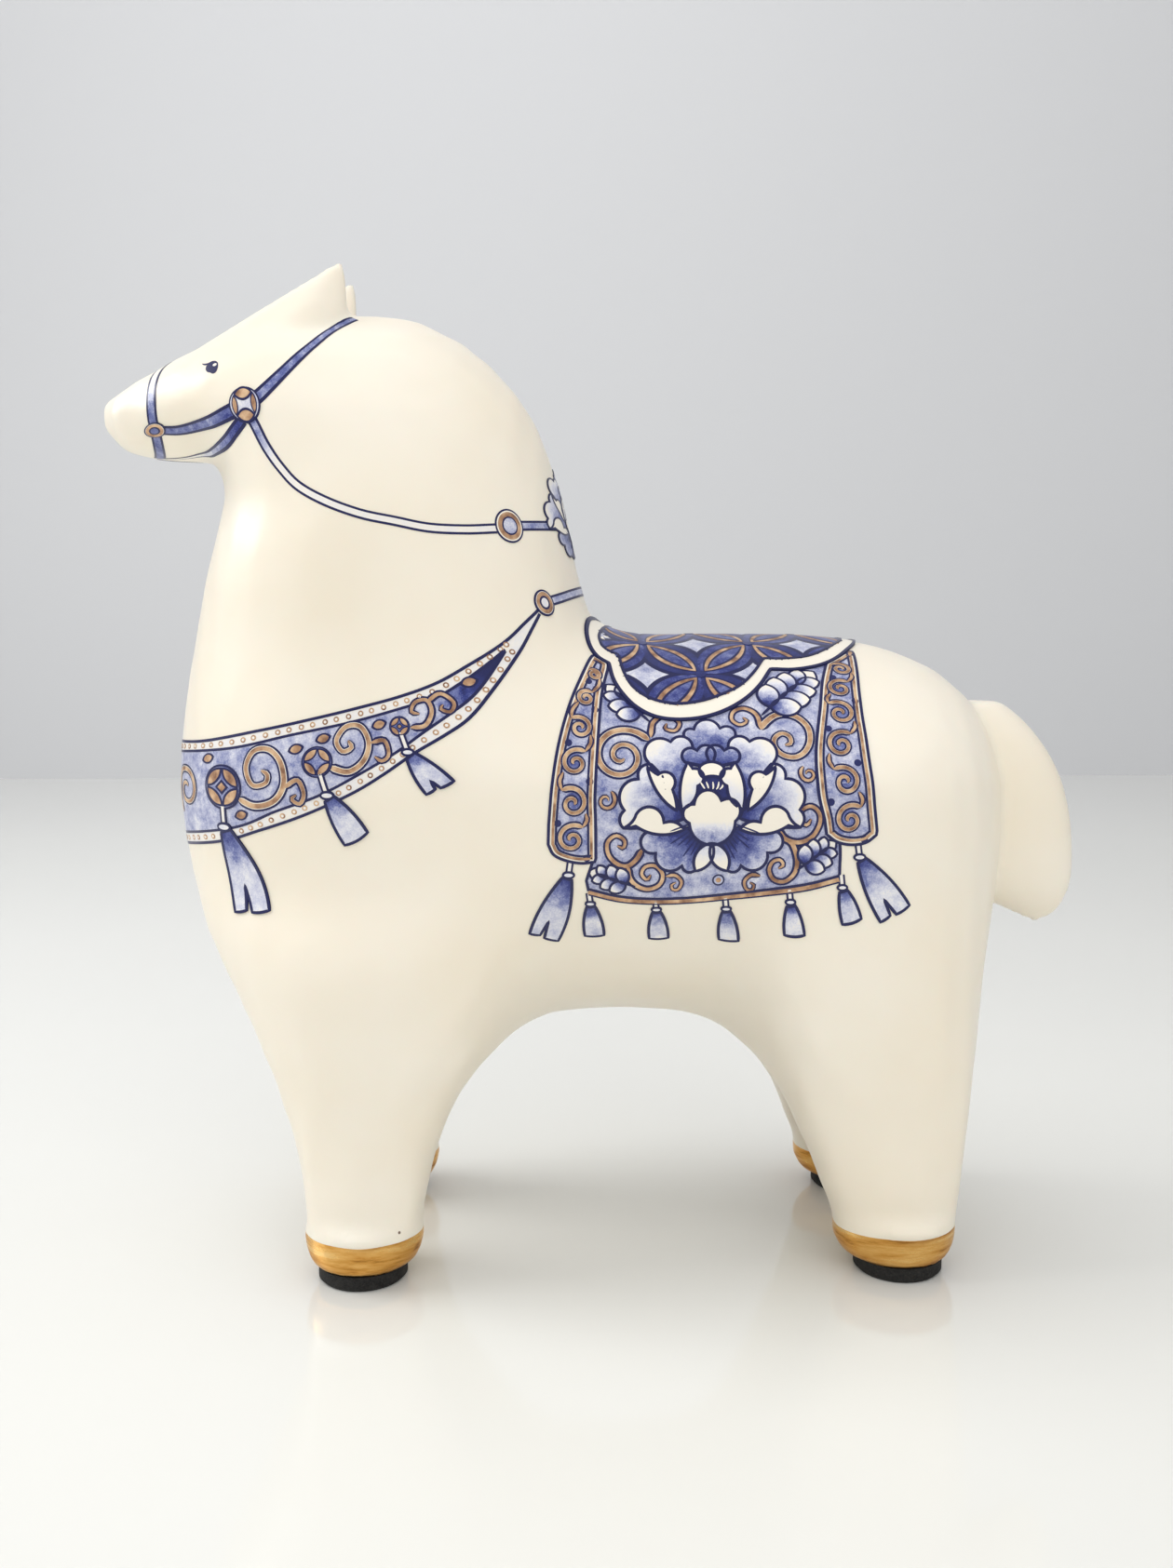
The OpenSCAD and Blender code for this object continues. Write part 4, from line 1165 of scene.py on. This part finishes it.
# %% Cloth, scrolls and leaves
def cloth_drawing():
    """The wide panel: washed ground, gold braid, scrolls, leaves and the peony."""
    cloth = Drawing()
    cloth.fill(CLOTH_EDGE, 0.38, 0)
    for base, tip, width in (((7.5, 36), (-0.3, 27.5), 3.6), ((28.6, 34.6), (40, 22.6), 4.4),
                             ((4.6, 67.6), (-4, 64.6), 2.6), ((34.4, 64.4), (41.4, 59), 3.2)):
        leaf(cloth, base, tip, width, pairs=4 if width > 4 else 3)
    cloth.scroll(spiral((2.1, 43.2), 6, 0.7, -32, -640))
    cloth.scroll(curve((7.6, 39.4), (7.8, 37.6), (8.3, 36), (10.5, 34.4), (13, 36.1), (12.2, 38), (10.4, 37.6),
                       (10.7, 36.4)), 1.7)
    cloth.scroll(curve((28.2, 37.8), (27.6, 34.5), (25.5, 33), (23.4, 33.7), (22.9, 35.6), (24.3, 36.8), (25.7, 36),
                       (25, 35.1)), 1.7)
    cloth.scroll(curve((28.2, 37.8), (29, 36.4), (31, 34.7), (33.2, 34.3), (35.4, 35.2), (37, 37.4), (37.1, 40.2),
                       (36, 42.4), (34.1, 43.5), (31.9, 43.1), (30.5, 41.6), (30.5, 39.8), (31.9, 38.7),
                       (33.3, 39.3), (33.5, 40.7), (32.4, 41.1)))
    cloth.scroll(spiral((-0.9, 51.4), 1.9, 0.5, -60, 420), 1.3)
    cloth.scroll(spiral((36.3, 46.8), 1.7, 0.5, -120, -420), 1.3)
    cloth.scroll(curve((5.8, 60.2), (4.7, 62.2), (3, 63.5), (1.1, 63), (-0.4, 61.3), (-0.6, 59), (0.9, 57.7),
                       (2.5, 58.6), (2.3, 60), (1.2, 59.6)), 1.8)
    cloth.scroll(curve((3.2, 63.5), (3.5, 65.7), (4.8, 67.4), (6.9, 68.2), (9, 67.3), (9.6, 65.2), (8.3, 63.5),
                       (6.4, 63.6), (5.7, 65), (6.7, 66.2), (7.4, 65.2)), 1.8)
    cloth.scroll(curve((30.5, 56.6), (32.1, 58.5), (34.6, 59.1), (37, 58), (38.3, 55.6), (38.1, 53.6), (36.6, 52.5),
                       (34.9, 53.3), (34.6, 55), (35.9, 55.9), (36.7, 54.8)), 1.8)
    cloth.scroll(curve((32.1, 58.5), (33.4, 59.5), (34.3, 62.4), (33.9, 65), (32.1, 66.6), (30.1, 66.2), (29.2, 64.4),
                       (29.8, 62.8), (31.1, 62.4), (31.8, 63.4), (30.9, 64.1)), 1.8)
    for way in (1, -1):
        comma = curve((10.2, 65.5), (11.9, 65.3), (13.1, 66.6), (12.6, 68.2), (11.6, 68.3), (11.3, 67.3), (12.1, 66.8))
        comma = (comma - (18.9, 0)) * (way, 1) + (18.9, 0)
        cloth.scroll(comma, 1.3)
    cloth.fill(circle((19.9, 66.3), 1.15, 1, 0.35), 1.0, 3)
    cloth.fill(circle((19.9, 66.3), 0.85, 1, 0.35), 0.3, 4)
    cloth.fill(circle((19.9, 66.3), 0.5, 1, 0.3), 0, 5, ink=GOLD_INK)
    cloth.clip(CLOTH_EDGE)
    cloth.line(CLOTH_EDGE, 0.55, 4, closed=True)
    hem = curve((-4, 68.6), (2, 70.2), (9, 70.7), (16, 70.3), (23, 69.4), (30, 68.4), (36.5, 67.4), (42.2, 65.9))
    cloth.line(hem + (0, 0.35), 0.9, 5, ink=GOLD_INK, taper=False)
    cloth.line(hem - (0, 0.3), 0.5, 6, taper=False)
    cloth.line(hem + (0, 0.9), 0.3, 6, taper=False)
    cloth.add(peony(), 5, lambda points: points + (18.5, 54.1))
    return cloth

cloth = cloth_drawing()
for side, sign in (("left", 1), ("right", -1)):
    make_film(f"cobalt_{side}_saddle_cloth", cloth, barrel_wrap, [f"{side}_saddle_cloth"],
              sides=(sign,))

# %% Tassels under the cloth
cloth_tassels = Drawing()
for knot, end in (((-3.6, 71.6), (-2.6, 80.6)), ((8.7, 72.9), (9.6, 81.3)), ((21.7, 72.6), (22.8, 81)),
                  ((33.4, 70.6), (34.5, 77.2)), ((42.9, 67.8), (45, 74.4))):
    tassel(cloth_tassels, (knot[0] - 0.3, knot[1] - 2.4), knot, end, 0.8, 1.8)
tassel(cloth_tassels, (-7.4, 63), (-7.7, 65.4), (-12.4, 80.6), 0.9, 3.0, split=0.3)
tassel(cloth_tassels, (45.5, 59.6), (45.9, 62), (53.3, 73.4), 0.9, 3.0, split=0.3)
for side, sign in (("left", 1), ("right", -1)):
    make_film(f"cobalt_{side}_cloth_tassels", cloth_tassels, barrel_wrap, [f"{side}_cloth_tassels"],
              sides=(sign,))

# %% [markdown]
# ## The breast collar
# The collar runs round the chest and up both sides of the neck to a ring, and a strap
# joins the rings over the withers. It carries a blue field with gold-cored scrolls
# between pale margins dotted with gold, three rosettes on a side and a tassel under
# each. One half is drawn and laid on both sides.

# %% Collar
FRONT_LINE, CREST_LINE = -51.84, 51.84


def down(*points):
    """Neck points given as heights, turned into drops from the crest."""
    return [(x, NECK_TOP - z) for x, z in points]

COLLAR_TOP = curve(*down((FRONT_LINE, 105), (-46.2, 105.3), (-35.1, 106.2), (-23, 108.7), (-14.3, 110.7),
                         (-5.5, 112.8), (3.4, 115.1), (10.1, 117.6), (15.8, 121), (21.4, 124.6), (25.8, 128.1),
                         (29.9, 131.2)))
COLLAR_FOOT = curve(*down((FRONT_LINE, 83.9), (-32.8, 86.9), (-22.9, 90), (-13.9, 93.4), (-5.2, 97.5), (0.5, 101),
                          (5.8, 104.8), (11, 108.2), (14.9, 111.4), (19.1, 116.8), (23.5, 122.4), (29.9, 130.4)))
FIELD_TOP = curve(*down((FRONT_LINE, 103), (-44.9, 103.4), (-29.1, 105.1), (-16.9, 108), (-5.5, 110.5),
                        (3.4, 112.9), (10, 115.1), (14.6, 118), (18.8, 121.2), (21.9, 123.7)))
FIELD_FOOT = curve(*down((FRONT_LINE, 86), (-29.5, 89.8), (-19.7, 93.7), (-11.5, 96.9), (-3.9, 101), (2.6, 104.9),
                         (7.1, 108.3), (12.2, 112.2), (16.3, 115.9), (21.9, 123.4)))


def collar_drawing():
    collar = Drawing()
    collar.fill(np.vstack([COLLAR_TOP, COLLAR_FOOT[::-1]]), 0.07, 0)
    tip = np.array([22.0, NECK_TOP - 123.6])

    def field_wash(points):
        near_tip = np.linalg.norm(points - tip, axis=1)
        return np.clip(1.0 - near_tip / 16, 0, 0.62) + 0.36
    collar.fill(np.vstack([FIELD_TOP, FIELD_FOOT[::-1]]), field_wash, 1)
    for edge in (COLLAR_TOP, COLLAR_FOOT):
        collar.line(edge, 0.55, 3, taper=False)
    for edge in (FIELD_TOP, FIELD_FOOT):
        collar.line(edge, 0.5, 3, taper=False)
    for outer, inner in ((COLLAR_TOP, FIELD_TOP), (COLLAR_FOOT, FIELD_FOOT)):
        for spot in spread(outer, 2.3)[1:-4]:
            other = inner[np.linalg.norm(inner - spot, axis=1).argmin()]
            middle = (spot + other) / 2
            collar.fill(circle(middle, 0.52, 1, 0.3), 0, 3, ink=GOLD_INK)
            collar.fill(circle(middle, 0.26, 1, 0.3), 0.05, 4)
    runs = [
        ((-26.9, 95.7), (-23.5, 94.5), (-19.8, 95.7), (-17.9, 98.9), (-18.6, 102.9), (-21, 105.2), (-23.9, 104.8),
         (-25.2, 101.7), (-23.9, 98.5), (-21.4, 98.9), (-21, 100.5), (-22.2, 101.3)),
        ((-17.9, 98.2), (-15.4, 99.7), (-14.2, 97.3), (-15, 95.3), (-16.5, 96.1), (-15.6, 97)),
        ((-9.6, 102.2), (-6, 101.4), (-3.2, 103.4), (-2.3, 106.7), (-3.9, 109.6), (-6.7, 109.6), (-8.4, 107.1),
         (-7.2, 105.1), (-5.5, 105.8), (-6.2, 107.1)),
        ((-1.9, 106.7), (0.6, 107.1), (1.4, 104.6), (0.2, 103.4), (-1.2, 104.2)),
        ((5.4, 109.5), (7.9, 109.9), (9.1, 112.4), (8.3, 114.5), (6.3, 114.1), (5.6, 112.4), (7, 112)),
        ((8.3, 114.1), (10.6, 115.7), (12.7, 114.1), (12.1, 112.4), (10.6, 112.9), (11, 113.7))]
    for width, run in zip((2.1, 1.7, 2.0, 1.6, 1.6, 1.5), runs):
        collar.scroll(curve(*down(*run)), width, 4, pen=0.42, thin_end=0.7)
    collar.scroll(spiral((-40.9, NECK_TOP - 96.4), 5.6, 0.8, 120, 560), 2.0, 4, pen=0.42)
    collar.scroll(spiral((FRONT_LINE, NECK_TOP - 97.5), 3.4, 0.6, 60, 400), 1.8, 4, pen=0.42)
    for x, z in ((-33.9, 102.9), (-15.9, 105.4), (-10.9, 107.4), (-0.4, 110), (15.4, 117.8), (-26.6, 92.6)):
        bud = lens((x - 1.5, NECK_TOP - z + 0.5), (x + 1.5, NECK_TOP - z - 0.5), 0.32, 0.4)
        collar.fill(bud, 1.0, 4)
        middle = bud.mean(0)
        collar.fill(middle + (bud - middle) * 0.68, 0, 5, ink=GOLD_INK)
    rosette(collar, (-30.3, NECK_TOP - 97.7), 4.1, 1.05, 0.5, stone=True)
    rosette(collar, (-11.8, NECK_TOP - 103.1), 2.9, 1.0, 0.6)
    rosette(collar, (3.4, NECK_TOP - 109.7), 1.9, 1.0, 0.7, stone=True)
    ring_at = (31.6, NECK_TOP - 132.5)
    strap(collar, curve(ring_at, (38, NECK_TOP - 133.9), (45, NECK_TOP - 135),
                        (CREST_LINE, NECK_TOP - 135.4)), 1.9, 0.35, 3)
    ring(collar, ring_at, 2.3, 1.1, 0.1)
    return collar

make_film("cobalt_breast_collar", collar_drawing(), neck_wrap, ["breast_collar"],
          sides=(1, -1))

collar_tassels = Drawing()
tassel(collar_tassels, (-30.4, NECK_TOP - 94), (-30.5, NECK_TOP - 90), (-25.2, NECK_TOP - 73.6), 1.1, 3.6,
       split=0.34, level=9)
tassel(collar_tassels, (-11.4, NECK_TOP - 101.8), (-9.9, NECK_TOP - 97), (-4.6, NECK_TOP - 88.4), 1.0, 2.5, level=9)
tassel(collar_tassels, (3.6, NECK_TOP - 108.6), (4.8, NECK_TOP - 105), (10, NECK_TOP - 98.4), 0.9, 2.4,
       split=0.26, level=9)
make_film("cobalt_collar_tassels", collar_tassels, neck_wrap, ["collar_tassels"],
          sides=(1, -1))

# %% [markdown]
# ## Bridle, reins and eyes
# The bridle has a noseband through a ring at the corner of the mouth, a cheek strap to
# a gold rosette and a headstall that runs up behind the ear. Reins fall from the
# rosette and rise to a ring and a small peony on the crest. The eyes are a single drop
# of ink with a lash.

# %% Bridle and reins
bridle = Drawing()
mouth_ring, cheek = (-10.0, 25.4), (9.6, 24.7)
noseband = curve((-5.2, 0), (-6, 6), (-7.6, 12.3), (-8.6, 18), (-9.6, 23), mouth_ring, (-11.5, 33), (-12.9, 41.6))
strap(bridle, noseband, 2.2, lambda p: np.clip((p[:, 1] - 12) / 16, 0.03, 0.62), 1)
strap(bridle, curve(mouth_ring, (-5.2, 26.4), (1, 26), (5.5, 25.3), cheek), 2.0, 0.62, 3)
strap(bridle, curve((8.6, 26.2), (4.9, 28.1), (0.3, 31.1), (-7, 38), (-12.4, 41.4)), 1.6,
      lambda p: np.clip((p[:, 0] + 6) / 16, 0.03, 0.7), 1)
strap(bridle, curve(cheek, (12.7, 24.1), (17.9, 21.9), (23.2, 18.7), (27.8, 15), (32.6, 10.5)), 1.8, 0.55, 1)
ring(bridle, mouth_ring, 2.3, 0.74, 0.6)
rosette(bridle, cheek, 3.0, 0.7, 0.22, tilt=50, level=9)
make_film("cobalt_bridle", bridle, head_wrap, ["bridle"], sides=(1, -1))

reins = Drawing()
rein_ring = (26.8, NECK_TOP - 146.9)
strap(reins, curve(*down((-28.6, 168), (-27.3, 165.8), (-24.9, 161.3), (-22, 157.4), (-18.1, 153.9),
                         (-11.7, 150.9), (-4.3, 148.6), (3, 147.3), (10.1, 146.1), (17.1, 145.9), (23.8, 146.3))),
      1.9, lambda p: np.clip(0.6 - (p[:, 0] + 28) / 9, 0.06, 0.6), 1)
strap(reins, curve(rein_ring, (36.4, NECK_TOP - 147.5), (44, NECK_TOP - 147.9)), 1.9, 0.4, 1)
reins.fill(circle(rein_ring, 3.2, 1.0, 0.4), 1.0, 4)
reins.fill(circle(rein_ring, 2.85, 1.0, 0.4), 0.0, 5)
reins.fill(circle(rein_ring, 2.6, 1.0, 0.4), 0.0, 6, ink=GOLD_INK)
reins.fill(circle(rein_ring, 1.75, 1.0, 0.4), 1.0, 7)
reins.fill(circle(rein_ring, 1.45, 1.0, 0.4), 0.3, 8)
make_film("cobalt_reins", reins, neck_wrap, ["reins"], sides=(1, -1))

neck_flower = Drawing()
neck_flower.add(flower, 3, lambda points: points * (0.86, 0.62) + (CREST_LINE, NECK_TOP - 148.4))
make_film("cobalt_neck_flower", neck_flower, neck_wrap, ["neck_flower"])

eye = Drawing()
eye.fill(outline((5.9, 17.4, 0.1), (5.6, 18.9, 0.3), (4.2, 18.9, 0.35), (3.9, 17, 0.2), (2.7, 16.2, -0.1),
                 (4.3, 16.7, 0.2), step=0.3), 1.0, 1, step=0.7)
# The small white dot in the drop of ink is a painted highlight.
eye.fill(circle((5.3, 17.7), 0.42, 0.7, 0.25), 0.0, 2)
for side, sign in (("left", 1), ("right", -1)):
    make_film(f"ink_{side}_eye", eye, head_wrap, [f"{side}_eye"], sides=(sign,))
print("tack complete")
# %% [markdown]
# ## Table, wall and light
# The figure stands on a pale, polished table that mirrors its feet softly, before a
# light grey wall. One large window-like lamp to the left and front makes the bright
# chest and the soft shadows that fall to the right.

# %% Table and wall
WALL_Y = 0.97


def flat_quad(name, corners, material):
    mesh = bpy.data.meshes.new(name)
    mesh.from_pydata(corners, [], [(0, 1, 2, 3)])
    mesh.materials.append(material)
    made = bpy.data.objects.new(name, mesh)
    scene.collection.objects.link(made)
    return made


table_top = new_material("polished_table", tint(229, 229, 224), 0.09, Coat_Weight=0.3, Coat_Roughness=0.08)[0]
wall_paint = new_material("grey_wall", tint(208, 209, 211), 0.9)[0]
flat_quad("table", [(-3, -3, 0), (3, -3, 0), (3, WALL_Y, 0), (-3, WALL_Y, 0)], table_top)
flat_quad("wall", [(-3, WALL_Y, 0), (3, WALL_Y, 0), (3, WALL_Y, 3), (-3, WALL_Y, 3)], wall_paint)
print("table and wall placed")

# %% Lamps
def soft_lamp(name, place, aim, size, watts, colour=(1, 1, 1), mirrored_in_table=False):
    """A square area lamp that looks at aim."""
    data = bpy.data.lights.new(name, "AREA")
    data.size, data.energy, data.color = size, watts, colour
    lamp = bpy.data.objects.new(name, data)
    lamp.location = place
    lamp.rotation_euler = (Vector(aim) - Vector(place)).to_track_quat("-Z", "Y").to_euler()
    lamp.visible_glossy = mirrored_in_table
    scene.collection.objects.link(lamp)
    return lamp

soft_lamp("window", (-0.75, 0.05, 0.55), (-0.02, 0, 0.1), 0.5, 3.8, mirrored_in_table=True)
soft_lamp("ceiling", (0.0, -0.35, 1.1), (0, 0, 0.08), 1.2, 3.7)
soft_lamp("room", (0.35, -1.2, 0.35), (0, 0, 0.1), 1.0, 5.0, (1.0, 0.985, 0.95))
soft_lamp("wall_wash", (-0.2, 0.3, 1.3), (0, WALL_Y, 0.4), 0.8, 3.6)

world = bpy.data.worlds.new("room light")
world.use_nodes = True
world.node_tree.nodes["Background"].inputs["Color"].default_value = (0.98, 0.98, 1.0, 1)
world.node_tree.nodes["Background"].inputs["Strength"].default_value = 0.63
scene.world = world
scene.view_settings.view_transform = "Standard"
print("lamps placed")
